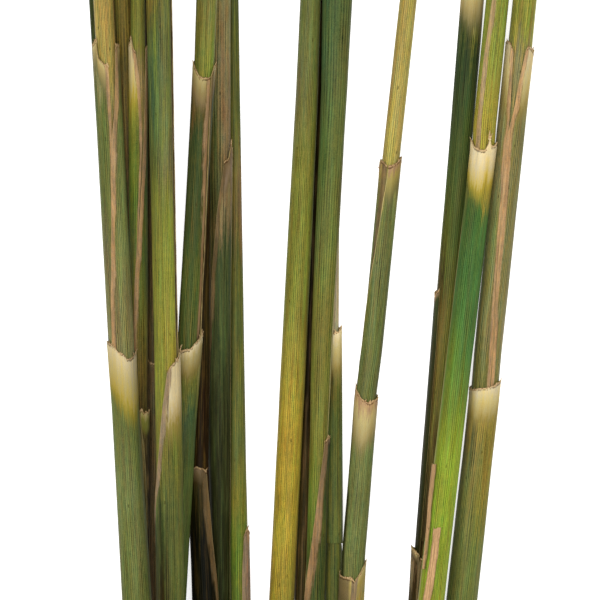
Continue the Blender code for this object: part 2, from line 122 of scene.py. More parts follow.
# Each stem: its centre line (x, y, z), its radius (y, radius), its tones down the left and the right side
# (y, tone and level where that isn't 1), the tone and strength of its streaks, and single thin lines on it
# (top y, foot y, angle at the top, angle at the foot, half width, tone, level).
STEMS = {
    "stem_left_0": dict(
        slot="reed_green", lines=("leaf", 0.3),
        path=[(-69.7, 120.7, 1.9), (-65.5, 50, 1.9), (-56.4, -120, 1.9)],
        radius=[(125, 1.87), (-125, 1.83)],
        left=[(125, "forest"), (-125, "forest")],
    ),
    "stem_left_1": dict(
        slot="reed_gold", lines=("culm_gold", 0.4),
        path=[(-66.9, 126.7, 6.2), (-59.2, -16.7, 15.5), (-52.6, -126, 19.8)],
        radius=[(125, 3.33), (-16.7, 3.3), (-40, 3.47), (-125, 4)],
        left=[
            (125, "amber"), (85, "amber", 0.95), (73.3, "culm_gold", 1.05), (56.7, "buff", 0.9),
            (33.3, "sage"), (-125, "sage")],
    ),
    "stem_left_2": dict(
        slot="reed_olive", lines=("olive", 0.3),
        path=[(-59.8, 123.3, 3.5), (-59.2, 100, 3.4), (-51.7, -122.7, 2.2)],
        radius=[(125, 3.23), (80, 3.2), (0, 2.67), (-125, 2.17)],
        left=[(125, "olive"), (80, "russet"), (50, "bark"), (-125, "umber")],
        right=[(125, "russet"), (66.7, "russet", 1.2), (-125, "umber")],
    ),
    "stem_left_3": dict(
        slot="reed_green", lines=("lime", 0.35),
        path=[(-54, 128, 8), (-53.6, -33.3, 9), (-53.2, -124, 9.6)],
        radius=[(125, 2.33), (85, 2.43), (-33.3, 2.37), (-125, 2.4)],
        left=[
            (125, "olive", 1.1), (86.7, "olive", 1.2), (71.7, "buff"), (50, "buff", 0.8),
            (-125, "olive", 0.8)],
    ),
    "stem_left_4": dict(
        slot="reed_brown", lines=("umber", 0.4),
        path=[
            (-47.4, 122, 10.3), (-46.9, 100, 12.7), (-44.5, -13.3, 25.2), (-43.4, -66.7, 28.9),
            (-42.6, -128, 33.2)],
        radius=[(125, 3.6), (-13.3, 3.27), (-125, 3.47)],
        left=[(125, "dark_brown", 1.5), (-30, "dark_brown", 1.5), (-125, "dark_brown", 1.5)],
    ),
    "stem_left_6": dict(
        slot="reed_olive", lines=("olive", 0.3),
        path=[
            (-30.1, 126, 18.3), (-31.8, 78, 18.4), (-37.1, -15, 18.7), (-40, -66.7, 17.3),
            (-43.1, -121.3, 15.8)],
        radius=[(125, 3.67), (78, 3.33), (-15, 2.97), (-125, 3.2)],
        left=[
            (125, "khaki", 0.7), (90, "olive", 0.75), (75, "olive", 0.78), (0, "olive", 0.8),
            (-125, "olive", 0.8)],
        right=[(125, "khaki", 1.3), (75, "pear", 0.95), (0, "olive", 0.9), (-125, "olive", 0.9)],
    ),
    "stem_left_7": dict(
        slot="reed_olive", lines=("rose_brown", 0.35),
        path=[
            (-26.3, 123.3, 5.7), (-26.9, 45, 6.9), (-26.9, -46.7, 6.4), (-26.5, -73.3, 6.4),
            (-26.4, -125.3, 6.5)],
        radius=[(125, 3.2), (45, 3.77), (0, 3.33), (-46.7, 3.13), (-73.3, 2.6), (-125, 2.53)],
        # Down its lower half the culm darkens through umber into deep: painted shade, where it lies in the
        # shadow of stem_left_6.
        left=[
            (125, "khaki", 1.15), (90, "khaki", 1.1), (80, "bark", 1.15), (66.7, "khaki", 1.2),
            (50, "moss", 1.2), (0, "umber", 1.5), (-125, "deep")],
        right=[
            (125, "khaki", 1.7), (83.3, "khaki", 1.6), (63.3, "bark", 1.15), (50, "bark", 0.95), (0, "umber"),
            (-125, "deep")],
        hairlines=[(125, 50, -76, -76, 0.3, "pink_tan", 0.8)],
    ),
    "stem_left_8": dict(
        slot="reed_olive", lines=("sunolive", 0.3),
        path=[
            (-22.6, 120, 1.8), (-21.6, 50, 2.5), (-20.7, -50, 3.5), (-20.4, -83.3, 3.8),
            (-19.9, -122.7, 4.2)],
        radius=[(125, 1.8), (50, 1.93), (-50, 2.7), (-83.3, 3.07), (-125, 3.23)],
        left=[
            (125, "forest", 1.25), (83.3, "moss", 0.8), (60, "moss", 0.95), (40, "olive", 0.9),
            (13.3, "moss", 0.8), (-16.7, "moss", 0.85), (-50, "moss", 1.15), (-66.7, "sunolive", 0.95),
            (-86.7, "lime", 0.8), (-125, "leaf", 0.95)],
        right=[
            (125, "forest", 1.25), (83.3, "moss", 0.8), (60, "moss", 0.95), (43.3, "rose_brown", 1.1),
            (25, "rose_brown", 0.95), (11.7, "moss", 0.9), (-10, "moss", 0.9), (-50, "moss", 1.15),
            (-66.7, "sunolive", 0.9), (-86.7, "lime", 0.8), (-125, "leaf", 0.95)],
    ),
    "stem_left_9": dict(
        slot="reed_brown", lines=("russet", 0.3),
        path=[
            (-32.1, 124.7, 6.3), (-32.3, 45, 12.2), (-33.1, -33.3, 11.6), (-33.3, -55.3, 11.4),
            (-32.1, -83.3, 12.3), (-30.2, -127.3, 13.7)],
        radius=[(125, 2.1), (20, 2.53), (-10, 2.83), (-51.7, 2.87), (-125, 2.87)],
        # The culm is nearly black all down: painted shade, for it lies deep in shadow between stem_left_6 and
        # stem_left_7.
        left=[
            (125, "dark_brown"), (20, "dark_brown", 1.4), (-13.3, "umber", 0.7), (-33.3, "dark_brown", 1.2),
            (-56.7, "dark_brown", 1.2), (-125, "dark_brown")],
    ),
    "stem_left_10": dict(
        slot="reed_brown", lines=("bark", 0.3),
        path=[(-49.2, 127.3, 2.9), (-48.3, -19.7, 3.2), (-46.2, -120, 3.5)],
        radius=[(125, 2.8), (-19.7, 2.6), (-125, 2.6)],
        left=[(125, "umber"), (-10, "bark", 0.7), (-125, "umber")],
    ),
    "stem_mid_1": dict(
        slot="reed_olive", lines=("leaf", 0.5),
        path=[(4.5, 125.3, 9), (2.2, 66.7, 8.3), (-7.3, -123.3, 6.1)],
        radius=[(125, 3.2), (66.7, 3.7), (0, 4.13), (-125, 4.23)],
        left=[
            (125, "sage", 1.02), (83.3, "sage"), (66.7, "khaki", 1.08), (43.3, "sunolive", 1.1),
            (20, "sunolive", 1.12), (0, "sunolive", 1.2), (-20, "mustard", 1.3), (-40, "gold", 1.15),
            (-76.7, "gold", 1.2), (-100, "gold"), (-125, "gold", 0.9)],
        right=[
            (125, "moss", 1.2), (83.3, "moss", 1.3), (43.3, "sunolive", 1.05), (20, "sunolive", 1.1),
            (0, "sunolive", 1.1), (-20, "mustard", 1.18), (-40, "gold", 1.12), (-76.7, "gold", 1.18),
            (-100, "mustard", 1.05), (-125, "gold", 0.85)],
    ),
    "stem_mid_2": dict(
        slot="reed_teal", lines=("teal", 0.3),
        path=[(13.5, 122, 9.4), (12.4, 100, 9.4), (11.4, 70, 9.3), (7.3, -13.3, 9.2), (4, -126.7, 9)],
        radius=[(125, 5.13), (100, 5.07), (70, 4.33), (-13.3, 3.6), (-42.7, 3.1), (-125, 2.93)],
        left=[
            (125, "teal", 1.05), (83.3, "teal", 1.2), (43.3, "leaf", 1.2), (20, "moss", 1.3),
            (0, "olive", 1.25), (-33.3, "olive", 1.25), (-50, "sunolive", 0.95), (-70, "lime", 0.85),
            (-96.7, "leaf"), (-125, "leaf", 0.9)],
        right=[
            (125, "teal", 1.15), (83.3, "moss", 1.05), (43.3, "moss", 1.2), (0, "olive", 1.2),
            (-33.3, "olive", 1.2), (-70, "olive", 1.1), (-125, "leaf", 0.9)],
        hairlines=[(16.7, -46.7, 72, 66, 0.22, "straw", 0.95)],
    ),
    "stem_mid_3": dict(
        slot="reed_olive", lines=("olive", 0.3),
        path=[(11.9, 128, 1.9), (11, -8.3, 3), (11.3, -80.7, 3.6), (11, -120.7, 4)],
        radius=[(125, 1.83), (-8.3, 1.9), (-80.4, 2.13), (-81.7, 2.9), (-125, 3.03)],
        # The cream down the culm is dimmed: painted shade on the thin strip of it that shows.
        left=[
            (125, "cream", 0.72), (16.7, "cream", 0.78), (-6.7, "cream", 0.8), (-33.3, "moss"),
            (-81.7, "moss", 0.95), (-125, "moss", 0.95)],
    ),
    "stem_mid_4": dict(
        slot="reed_brown", lines=("bark", 0.25),
        path=[(6.6, 120.7, 2.3), (3.5, 0, 2.4), (-0.2, -124.7, 2.5)],
        radius=[(125, 2.27), (-125, 2.47)],
        # Dimmed to half above y -43: painted shade, where the stem shows deep in the dark gap between
        # stem_mid_1 and stem_mid_2.
        left=[(125, "umber", 0.5), (-41.7, "umber", 0.5), (-46.7, "umber", 1.15), (-125, "umber", 1.15)],
    ),
    "stem_mid_5": dict(
        slot="reed_green", lines=("sunolive", 0.35),
        path=[
            (38.9, 126, 3), (30.1, 45.3, 5.3), (24, -16.7, 7), (21.9, -33.3, 7.5), (19.3, -66.7, 8.4),
            (17.9, -83.3, 8.9), (15.5, -128, 10.2)],
        radius=[(125, 2.87), (45.3, 2.9), (-16.7, 2.73), (-33.3, 2.67), (-125, 3)],
        left=[
            (125, "amber", 0.92), (83.3, "culm_gold", 1.05), (66.7, "culm_gold", 1.15),
            (50, "culm_gold", 1.05), (-33.3, "sage", 0.9), (-86.7, "sage", 0.8), (-125, "sage", 0.8)],
        right=[
            (125, "culm_gold", 0.95), (83.3, "culm_gold", 1.1), (66.7, "culm_gold", 1.2),
            (50, "culm_gold", 1.1), (-33.3, "sage", 0.9), (-86.7, "buff", 0.9), (-125, "sage", 0.8)],
    ),
    "stem_right_1": dict(
        slot="reed_olive", lines=("olive", 0.35),
        path=[(59.3, 123.3, 3.8), (55.8, 80, 4.1), (53.3, 50, 4.3), (49, 0, 4.6), (39, -121.3, 5.5)],
        radius=[(125, 3.2), (50, 2.93), (0, 2.83), (-125, 2.83)],
        left=[(125, "forest"), (6.7, "russet", 0.9), (-50, "umber", 1.2), (-125, "umber", 1.1)],
    ),
    "stem_right_2": dict(
        slot="reed_green", lines=("lime", 0.35),
        path=[
            (68.6, 127.3, 6.6), (63.2, 75, 8.5), (61.5, 58.3, 9.1), (61, 50, 9.5), (53.2, -16.7, 11.9),
            (40.6, -125.3, 18.4)],
        radius=[(125, 3.07), (58.3, 2.93), (-16.7, 3.23), (-125, 3.47)],
        left=[(125, "sunolive"), (50, "mustard", 0.95), (-125, "leaf")],
        right=[(125, "pear"), (50, "mustard"), (-125, "leaf")],
    ),
    "stem_right_3": dict(
        slot="reed_olive", lines=("culm_gold", 0.35),
        path=[
            (77, 121.3, 4.8), (73, 81.7, 4.9), (71.3, 66.7, 5), (62.6, -16.7, 5.3), (61.2, -33.3, 5.3),
            (50.6, -129.3, 5.6)],
        radius=[(125, 4.13), (-16.7, 3.73), (-125, 4)],
        left=[
            (125, "sunolive", 1.22), (90, "sunolive", 1.22), (80, "khaki", 1.65), (50, "khaki", 1.3),
            (-125, "olive")],
    ),
}

# Each sheath: its rows (y, radius, first angle, last angle), torn rim (angle, y), tones, streaks and lines
# as for a stem, its pale zone (share that is pale, end below the rim, angle where it reaches lowest) and the
# three tones down it, the tones of its dry margins, their widths (y, first, last) and the shreds that stand
# off its mouth (angle, length, width, lean, curl). One that is uncut runs on past the end of the bunch.
SHEATHS = {
    "sheath_left_1_upper": dict(
        slot="reed_gold", lines=("teal", 0.3), zone=(0.35, 9, 0),
        pale=[("straw", 1), ("buff", 0.95), ("khaki", 1)], margins=[("pink_tan", 1.05)],
        rows=[
            (80, 4.5, 44, 365), (66.7, 4.5, 27, 369), (50, 4.5, 9, 363), (25, 4.47, -6, 349),
            (-9.3, 4.4, -32, 324), (-16.7, 4.1, -33, 323), (-31.7, 3.97, -36, 320)],
        rim=[
            (44, 83.3), (50, 84.2), (62, 85), (75, 84.5), (90, 84.7), (130, 85.3), (180, 86), (230, 86),
            (270, 84.7), (296, 85.3), (309, 86.3), (314, 86), (318, 83.3), (320, 81), (335, 79.7),
            (350, 78.3), (362, 78), (368, 77)],
        left=[
            (90, "khaki", 1.3), (73.3, "khaki", 1.3), (65, "moss", 1.1), (33.3, "moss", 1.1),
            (16.7, "khaki", 1.02), (-11.7, "khaki", 1.2), (-33.3, "khaki")],
        right=[
            (90, "khaki", 1.1), (63.3, "sage", 1.15), (33.3, "sage", 1.2), (16.7, "sage", 1.25),
            (0, "khaki", 1.3), (-11.7, "khaki", 1.6), (-33.3, "khaki", 1.5)],
        bands=[(86.7, 1.6, 1.4), (56.7, 1.8, 0.9), (50, 2, 0.6), (25, 1.4, 0.5), (-33.3, 1.5, 0.5)],
        hooks=[(54, 1, 1.1, -10, 0.3), (312, 1.2, 1.2, 10, 0.3), (362, 0.9, 1.4, 0, 0.5)],
    ),
    "sheath_left_1_lower": dict(
        slot="reed_green", lines=("teal", 0.35), zone=(0.4, 18, 20),
        pale=[("cream", 0.88), ("straw", 0.9), ("gold", 1)], margins=[("pink_tan", 1)],
        rows=[
            (-16.7, 4.8, -162, 162), (-33.3, 4.53, -165, 165), (-66.7, 4.7, -169, 169), (-100, 5, -172, 172),
            (-126, 5.07, -172, 172)],
        rim=[
            (-162, -15.3), (-110, -14.3), (-75, -13.7), (-60, -14.2), (-45, -15), (-30, -15.3), (-22, -16.7),
            (-5, -17.7), (8, -18.3), (19, -19.5), (37, -19.3), (50, -18.7), (62, -18), (75, -17.2),
            (95, -17.3), (162, -15.3)],
        left=[
            (-13.3, "moss", 1.1), (-40, "moss", 1.15), (-56.7, "sage", 1.02), (-100, "moss", 1.2),
            (-125, "moss")],
        right=[
            (-13.3, "moss", 1.1), (-40, "moss", 1.15), (-60, "sage", 1.05), (-100, "moss", 1.25),
            (-125, "moss")],
        bands=[(-13.3, 0.8, 0.8)],
        hooks=[(70, 1.3, 1.1, 10, 0.5), (60, 0.9, 0.8, -20, 0.9), (-60, 0.8, 0.7, 10, 0.3)],
    ),
    "sheath_left_3_upper": dict(
        slot="reed_green", lines=("olive", 0.35), zone=(0.5, 20, -40),
        pale=[("cream", 0.95), ("straw", 1.1), ("gold", 1.15)], margins=[("pink_tan", 1)],
        rows=[
            (83.3, 3.13, 54, 333), (75, 3.17, 49, 373), (50, 3.17, 35, 385), (25, 3.13, 12, 363),
            (0, 3.13, -12, 340), (-31.7, 2.93, -32, 318), (-46.7, 2.93, -36, 314)],
        rim=[
            (54, 83), (65, 83.8), (90, 84), (180, 85.3), (250, 86), (285, 84.7), (300, 86), (308, 87.3),
            (313, 87), (317, 84.7), (323, 83.3), (333, 82.7)],
        left=[
            (90, "leaf", 1.3), (70, "sunolive", 1.3), (53.3, "sunolive", 0.95), (33.3, "lime", 0.85),
            (16.7, "leaf", 1.3), (-6.7, "olive", 1.2), (-26.7, "russet", 1.6), (-43.3, "russet", 1.5)],
        right=[
            (90, "gold"), (70, "gold", 0.8), (50, "leaf"), (33.3, "leaf", 1.2), (13.3, "leaf", 1.2),
            (-6.7, "olive", 1.2), (-26.7, "russet", 1.5), (-43.3, "umber", 1.6)],
        bands=[(86.7, 1.2, 1.3), (50, 1.6, 0.8), (25, 1.2, 0.5), (0, 1.2, 0.6), (-43.3, 1, 0.4)],
        hooks=[(308, 0.6, 1, 6, 0.25), (60, 0.7, 0.8, -8, 0.3)],
    ),
    "sheath_left_3_lower": dict(
        slot="reed_green", lines=("straw", 0.35), zone=(0.45, 7, -20),
        pale=[("straw", 1.3), ("olive", 1.9), ("olive", 1.7)], margins=[("buff", 0.95)],
        rows=[(-36.7, 3.5, 4, 354), (-50, 3.5, 33, 385), (-73.3, 3.53, 46, 398), (-124, 3.6, 48, 400)],
        rim=[
            (4, -37.3), (14, -36.3), (24, -37), (34, -37.7), (45, -37), (60, -37.5), (75, -36.7),
            (100, -36.3), (180, -35), (250, -34.7), (330, -35), (345, -34.3), (354, -34.7)],
        # Both sides darken downwards to dark_brown: painted shade, where the sheath lies deep in the bunch.
        left=[(-33.3, "olive", 1.6), (-43.3, "olive", 1.4), (-53.3, "umber", 1.4), (-125, "dark_brown", 1.2)],
        right=[(-33.3, "olive", 1.4), (-43.3, "umber", 1.3), (-125, "dark_brown")],
        bands=[(-33.3, 0.5, 0.5)],
        hooks=[(353, 2.4, 0.9, -6, 0.5), (60, 1, 0.7, 8, 0.4), (20, 0.8, 0.5, -10, 0.8)],
    ),
    "sheath_left_10": dict(
        slot="reed_brown", lines=("umber", 0.35), zone=(0.3, 1.2, 0),
        pale=[("bark", 1), ("bark", 1), ("bark", 1)], margins=[("bark", 1)],
        rows=[(-20.7, 3.2, -165, 165), (-50, 3.23, -170, 170), (-120, 3.27, -172, 172)],
        rim=[
            (-165, -20.3), (-90, -20.5), (-58, -20.3), (-48, -19.8), (-38, -20.7), (0, -21.3), (60, -21),
            (165, -20.3)],
        left=[(-20, "bark", 0.9), (-125, "bark", 0.8)],
        bands=[(-20, 0.5, 0.5)],
        hooks=[(-48, 0.8, 0.5, 0, 0.5)],
    ),
    "sheath_left_4_upper": dict(
        slot="reed_green", lines=("lime", 0.35), zone=(0.3, 2, 0),
        pale=[("olive", 1), ("olive", 1), ("olive", 1)], margins=[("mauve", 0.8)], uncut=True,
        rows=[
            (122, 4.3, 80, 426), (66.7, 4.17, 78, 425), (16.7, 4.03, 76, 424), (-13.3, 3.97, 74, 422),
            (-80, 4.1, 150, 496)],
        rim=[(80, 122), (426, 122)],
        left=[
            (125, "russet", 1.25), (98, "russet", 1.25), (90, "moss", 0.95), (76.7, "teal", 1.15),
            (60, "teal", 1.1), (43.3, "moss", 0.95), (26.7, "olive", 1.05), (10, "sunolive"),
            (-33.3, "sunolive", 0.95), (-80, "umber", 1.2)],
        right=[
            (125, "sage", 0.98), (98.3, "sage", 0.98), (90, "sage", 0.9), (75, "sage", 0.98),
            (60, "sage", 1.12), (43.3, "khaki", 1.12), (26.7, "pear", 0.95), (10, "pear", 1.12),
            (-16.7, "mustard", 1.15), (-80, "umber", 1.2)],
        bands=[(125, 0.5, 0.5), (-16.7, 0.5, 0.5), (-33.3, 0.9, 0.9), (-80, 0.9, 0.9)],
    ),
    "sheath_left_4_lower": dict(
        slot="reed_green", lines=("leaf", 0.35), zone=(0.5, 24, 70),
        pale=[("cream", 0.88), ("cream", 0.85), ("amber", 0.85)], margins=[("mauve", 1.05)],
        rows=[
            (-22, 4.87, 9, 182), (-33.3, 4.87, -17, 190), (-50, 4.83, -38, 206), (-60, 4.83, -56, 222),
            (-80, 4.73, -110, 236), (-128, 4.73, -118, 234)],
        rim=[
            (9, -23.7), (16, -23), (24, -22), (32, -21), (40, -20.5), (48, -19.3), (56, -20), (64, -18.3),
            (72, -17.3), (80, -16.7), (90, -16.3), (120, -16.7), (182, -19.3)],
        # The left side darkens from moss to umber downwards: painted shade on its shaded left side.
        left=[
            (-16.7, "olive"), (-50, "olive"), (-63.3, "moss", 0.8), (-73.3, "forest", 0.75),
            (-100, "umber", 0.6), (-125, "umber", 0.6)],
        right=[
            (-16.7, "olive"), (-50, "olive"), (-63.3, "moss", 0.92), (-86.7, "moss", 1.05),
            (-125, "leaf", 0.95)],
        bands=[(-16.7, 1, 0.6), (-33.3, 1.9, 0.6), (-50, 1.9, 0.6), (-73.3, 1.4, 0.6), (-125, 1.2, 0.6)],
        hooks=[(70, 2.6, 1, 12, 0.2), (80, 2, 0.7, 4, 0.6), (44, 1.2, 1, 8, 0.5)],
    ),
    "sheath_left_6_upper": dict(
        slot="reed_olive", lines=("russet", 0.25), zone=(0.5, 9.5, 0),
        pale=[("straw", 0.78), ("buff", 0.65), ("bark", 1)], margins=[("bark", 1), ("pink_tan", 0.85)],
        rows=[
            (74.7, 3.87, 46, 395), (63.3, 3.73, 50, 402), (33.3, 3.63, 64, 416), (-10, 3.7, 82, 434),
            (-31.7, 3.5, 84, 436)],
        rim=[
            (46, 74.7), (58, 76.7), (72, 78.2), (85, 78), (110, 78.7), (180, 79.3), (250, 79.3), (270, 78.7),
            (285, 79), (300, 78), (320, 76), (338, 74.2), (352, 73.8), (366, 73.7), (380, 73.7), (395, 74.2)],
        left=[
            (80, "khaki", 0.9), (65, "umber", 2), (55, "forest", 0.95), (26.7, "forest", 1.05),
            (10, "leaf", 0.85), (-10, "leaf", 0.95), (-33.3, "leaf", 0.9)],
        right=[
            (80, "forest", 1.2), (63.3, "forest", 1.3), (43.3, "forest", 1.05), (10, "leaf", 0.85),
            (-10, "leaf", 0.95), (-33.3, "leaf", 0.9)],
        bands=[(80, 1.1, 1.5), (50, 0.5, 1.9), (25, 0.4, 1.7), (0, 0.4, 1.6), (-33.3, 0.4, 1.6)],
        hooks=[(285, 0.7, 1, 0, 0.3), (70, 1.1, 1.2, 6, 0.4)],
    ),
    "sheath_left_6_lower": dict(
        slot="reed_teal", lines=("teal", 0.35), zone=(0.35, 10, 60),
        pale=[("cream", 0.9), ("straw", 0.7), ("amber", 0.55)], margins=[("pink_tan", 1)],
        rows=[
            (-15, 4.67, -160, 160), (-28.3, 4.47, -165, 165), (-36.7, 4.17, -168, 168),
            (-66.7, 4.17, -171, 171), (-121.3, 3.97, -172, 172)],
        rim=[
            (-160, -15), (-90, -16.7), (-60, -17.3), (-25, -16.8), (-10, -16.3), (8, -16.3), (16, -15.7),
            (30, -14), (40, -13.7), (52, -12.7), (60, -12), (68, -11), (75, -11.5), (85, -11.8), (110, -12.7),
            (160, -14)],
        left=[
            (-10, "umber", 1.3), (-28.3, "olive", 0.85), (-40, "teal"), (-56.7, "leaf", 1.02),
            (-80, "leaf", 1.05), (-125, "leaf")],
        right=[
            (-10, "buff"), (-28.3, "olive", 0.95), (-40, "teal", 0.98), (-56.7, "leaf"), (-125, "leaf", 0.9)],
        bands=[(-10, 0.6, 0.6)],
        hooks=[(68, 1.4, 1, -14, 0.7), (58, 1, 0.8, -22, 0.9), (76, 1.2, 0.6, 0, 0.3)],
    ),
    "sheath_left_7": dict(
        slot="reed_brown", lines=("teal", 0.3), zone=(0.5, 12, 60),
        pale=[("rose_brown", 1), ("mauve", 0.9), ("bark", 0.9)],
        margins=[("rose_brown", 1.05), ("straw", 1.05)],
        rows=[
            (46.7, 4.47, 26, 200), (33.3, 4.4, -5, 210), (0, 3.93, -46, 237), (-46.7, 3.77, -98, 248),
            (-73.3, 3.2, -100, 250), (-125.3, 3.17, -100, 250)],
        rim=[
            (26, 46), (35, 46.5), (44, 46.7), (50, 47.3), (55, 49.7), (60, 51.3), (64, 51.7), (70, 50.7),
            (78, 49.3), (86, 48), (100, 47.3), (200, 47.3)],
        left=[
            (53.3, "bark", 1.2), (30, "bark", 1.25), (16.7, "forest", 1.35), (0, "forest", 1.3),
            (-16.7, "forest", 1.2), (-33.3, "deep", 1.35), (-66.7, "deep"), (-100, "deep", 0.75),
            (-125, "deep", 0.7)],
        right=[
            (53.3, "bark", 1.2), (30, "bark", 1.15), (16.7, "forest", 1.25), (0, "forest", 1.25),
            (-33.3, "deep", 1.1), (-66.7, "deep", 0.95), (-100, "deep", 0.7), (-125, "deep", 0.7)],
        bands=[(53.3, 1, 0.4), (26.7, 1.4, 0.4), (0, 1.5, 0.4), (-46.7, 1.1, 0.4), (-125, 1, 0.4)],
        # A pale line down its right edge: a painted highlight.
        hairlines=[(46.7, -113.3, 84, 84, 0.6, "straw", 0.9)],
        hooks=[(62, 2.2, 1, 4, 0.1)],
    ),
    "sheath_left_8": dict(
        slot="reed_gold", lines=("pink_tan", 0.35), zone=(0.4, 5, 60),
        pale=[("pink_tan", 1), ("pink_tan", 1), ("mauve", 1)], margins=[("mauve", 1.1)],
        rows=[(-78.7, 3.7, 30, 200), (-90, 3.8, 17, 205), (-122.7, 3.93, 14, 210)],
        rim=[(30, -78.7), (42, -77), (52, -76), (62, -76.7), (80, -77.3), (100, -77.7), (200, -78)],
        left=[(-73.3, "mauve", 0.9), (-100, "mauve", 0.85), (-125, "bark")],
        bands=[(-73.3, 1.5, 1.5)],
        hooks=[(50, 1.4, 0.8, 14, 0.3)],
    ),
    "sheath_left_9": dict(
        slot="reed_brown", lines=("umber", 0.4), zone=(0.4, 6, 20),
        pale=[("mauve", 0.65), ("bark", 0.6), ("umber", 0.8)], margins=[("bark", 0.7), ("rose_brown", 0.85)],
        rows=[
            (-55.3, 4.13, -172, 30), (-63.3, 4.23, -180, 35), (-83.3, 4.3, -210, 54),
            (-103.3, 4.43, -248, 90), (-127.3, 4.5, -225, 120)],
        rim=[
            (-172, -54.3), (-100, -54.7), (-60, -55.3), (-30, -55.7), (-15, -55.3), (0, -56), (12, -55.7),
            (22, -56.5), (30, -57)],
        # Darkening downwards to black_green on both sides: painted shade, deep in the bunch.
        left=[
            (-53.3, "umber", 0.9), (-63.3, "deep", 0.6), (-80, "black_green", 0.8),
            (-125, "black_green", 0.9)],
        right=[
            (-53.3, "bark", 0.6), (-66.7, "umber", 0.8), (-80, "black_green", 0.9),
            (-125, "black_green", 0.9)],
        bands=[(-53.3, 0.4, 1.6), (-66.7, 0.3, 2.4), (-86.7, 0.3, 2.3), (-125, 0.3, 2.3)],
        hooks=[(24, 1, 0.9, 14, 0.3)],
    ),
    "sheath_mid_2": dict(
        slot="reed_green", lines=("olive", 0.3), zone=(0.3, 2.5, 40),
        pale=[("pink_tan", 1), ("mauve", 1), ("umber", 1)], margins=[("pink_tan", 0.76)],
        rows=[
            (-45.3, 3.63, 36, 205), (-66.7, 3.63, -2, 216), (-86.7, 3.57, -32, 240), (-106.7, 3.53, -90, 255),
            (-126.7, 3.53, -95, 254)],
        rim=[(36, -47), (48, -46.3), (60, -46), (75, -45.5), (85, -46), (100, -45.3), (205, -46)],
        left=[(-43.3, "rose_brown"), (-66.7, "rose_brown"), (-86.7, "forest"), (-125, "forest", 0.95)],
        right=[(-43.3, "forest", 1.1), (-66.7, "forest", 1.05), (-100, "leaf", 0.8), (-125, "leaf", 0.8)],
        bands=[(-43.3, 1.6, 0.5), (-50, 2.4, 0.5), (-73.3, 2.6, 0.5), (-100, 2.8, 0.5), (-125, 2.8, 0.5)],
        hooks=[(46, 1.6, 0.8, 10, 0.2)],
    ),
    "sheath_mid_3": dict(
        slot="reed_green", lines=("olive", 0.3), zone=(0.3, 13, 40),
        pale=[("cream", 1.4), ("straw", 1.3), ("amber", 0.95)], margins=[("pink_tan", 1)],
        rows=[(-10, 3, -160, 160), (-33.3, 3, -167, 167), (-73.3, 3, -172, 172), (-81, 2.9, -172, 172)],
        rim=[
            (-160, -9.3), (-80, -10), (-30, -10.3), (0, -10.7), (12, -11), (25, -10.3), (32, -11), (45, -10),
            (58, -9), (75, -8.8), (100, -9.3), (160, -9.3)],
        left=[
            (-6.7, "buff"), (-28.3, "umber", 1.6), (-43.3, "leaf", 1.1), (-73.3, "moss", 1.15),
            (-86.7, "moss", 1.1)],
        right=[
            (-6.7, "buff"), (-30, "olive"), (-43.3, "leaf", 1.2), (-73.3, "moss", 1.2), (-86.7, "moss", 1.1)],
        bands=[(-6.7, 0.6, 0.6)],
        hooks=[(20, 0.8, 0.9, -12, 0.3), (50, 1, 0.8, 10, 0.4)],
    ),
    "sheath_mid_5_upper": dict(
        slot="reed_green", lines=("leaf", 0.4), zone=(0.35, 12, 0),
        pale=[("pink_tan", 1), ("culm_gold", 1), ("khaki", 1)], margins=[("straw", 1), ("bark", 1.05)],
        rows=[
            (45.3, 3.63, -4, 344), (33.3, 3.53, -12, 338), (23.3, 3.47, -20, 330), (6.7, 3.43, -45, 306),
            (-16.7, 3.4, -67, 285), (-33.3, 3.33, -80, 273), (-41.7, 3.23, -85, 268)],
        rim=[
            (-4, 44.5), (12, 44.7), (22, 45), (40, 45.7), (55, 46.7), (70, 47.3), (85, 47.7), (120, 47.7),
            (180, 47.3), (250, 47), (268, 45), (276, 44), (286, 44.7), (300, 46.5), (320, 46), (335, 45),
            (345, 44.7)],
        left=[
            (50, "culm_gold"), (33.3, "sage", 1.02), (20, "sage", 1.02), (-16.7, "sage", 0.95),
            (-43.3, "sage", 0.95)],
        right=[
            (50, "culm_gold"), (33.3, "sage", 1.08), (20, "sage"), (-16.7, "sage", 0.93),
            (-43.3, "sage", 0.93)],
        bands=[(50, 0.3, 2.3), (30, 0.3, 2), (0, 0.25, 0.8), (-43.3, 0.25, 0.4)],
        hooks=[(276, 0.7, 1, 0, 0.7), (60, 0.9, 0.8, 10, 0.2), (30, 0.6, 0.9, 4, 0.4)],
    ),
    "sheath_mid_5_middle": dict(
        slot="reed_olive", lines=("teal", 0.3), zone=(0.4, 15, -30),
        pale=[("pink_tan", 1.1), ("straw", 0.95), ("buff", 0.8)], margins=[("pink_tan", 1)],
        rows=[(-30.7, 4, -158, 158), (-50, 3.87, -165, 165), (-83.3, 4, -171, 171), (-100, 3.67, -171, 171)],
        rim=[
            (-158, -30), (-100, -28.7), (-85, -28.2), (-79, -28), (-70, -29.3), (-50, -30.7), (-30, -32),
            (-15, -33), (0, -33.7), (20, -34), (40, -33.5), (60, -33), (80, -32.8), (110, -32), (158, -30.3)],
        left=[(-26.7, "sage", 1.15), (-56.7, "sage", 1.1), (-73.3, "sage", 1.05), (-125, "moss")],
        right=[(-26.7, "sage", 1.15), (-56.7, "sage", 1.12), (-73.3, "sage", 1.08), (-125, "leaf", 1.05)],
        bands=[(-26.7, 0.6, 0.6)],
        # A dark stripe down its left side: painted shade.
        hairlines=[(-63.3, -113.3, -66, -66, 1, "deep", 0.9)],
        hooks=[(-76, 1.8, 0.8, -6, 0.3), (20, 0.8, 1.2, 0, 0.5), (55, 0.8, 0.8, 10, 0.4)],
    ),
    "sheath_mid_5_lower": dict(
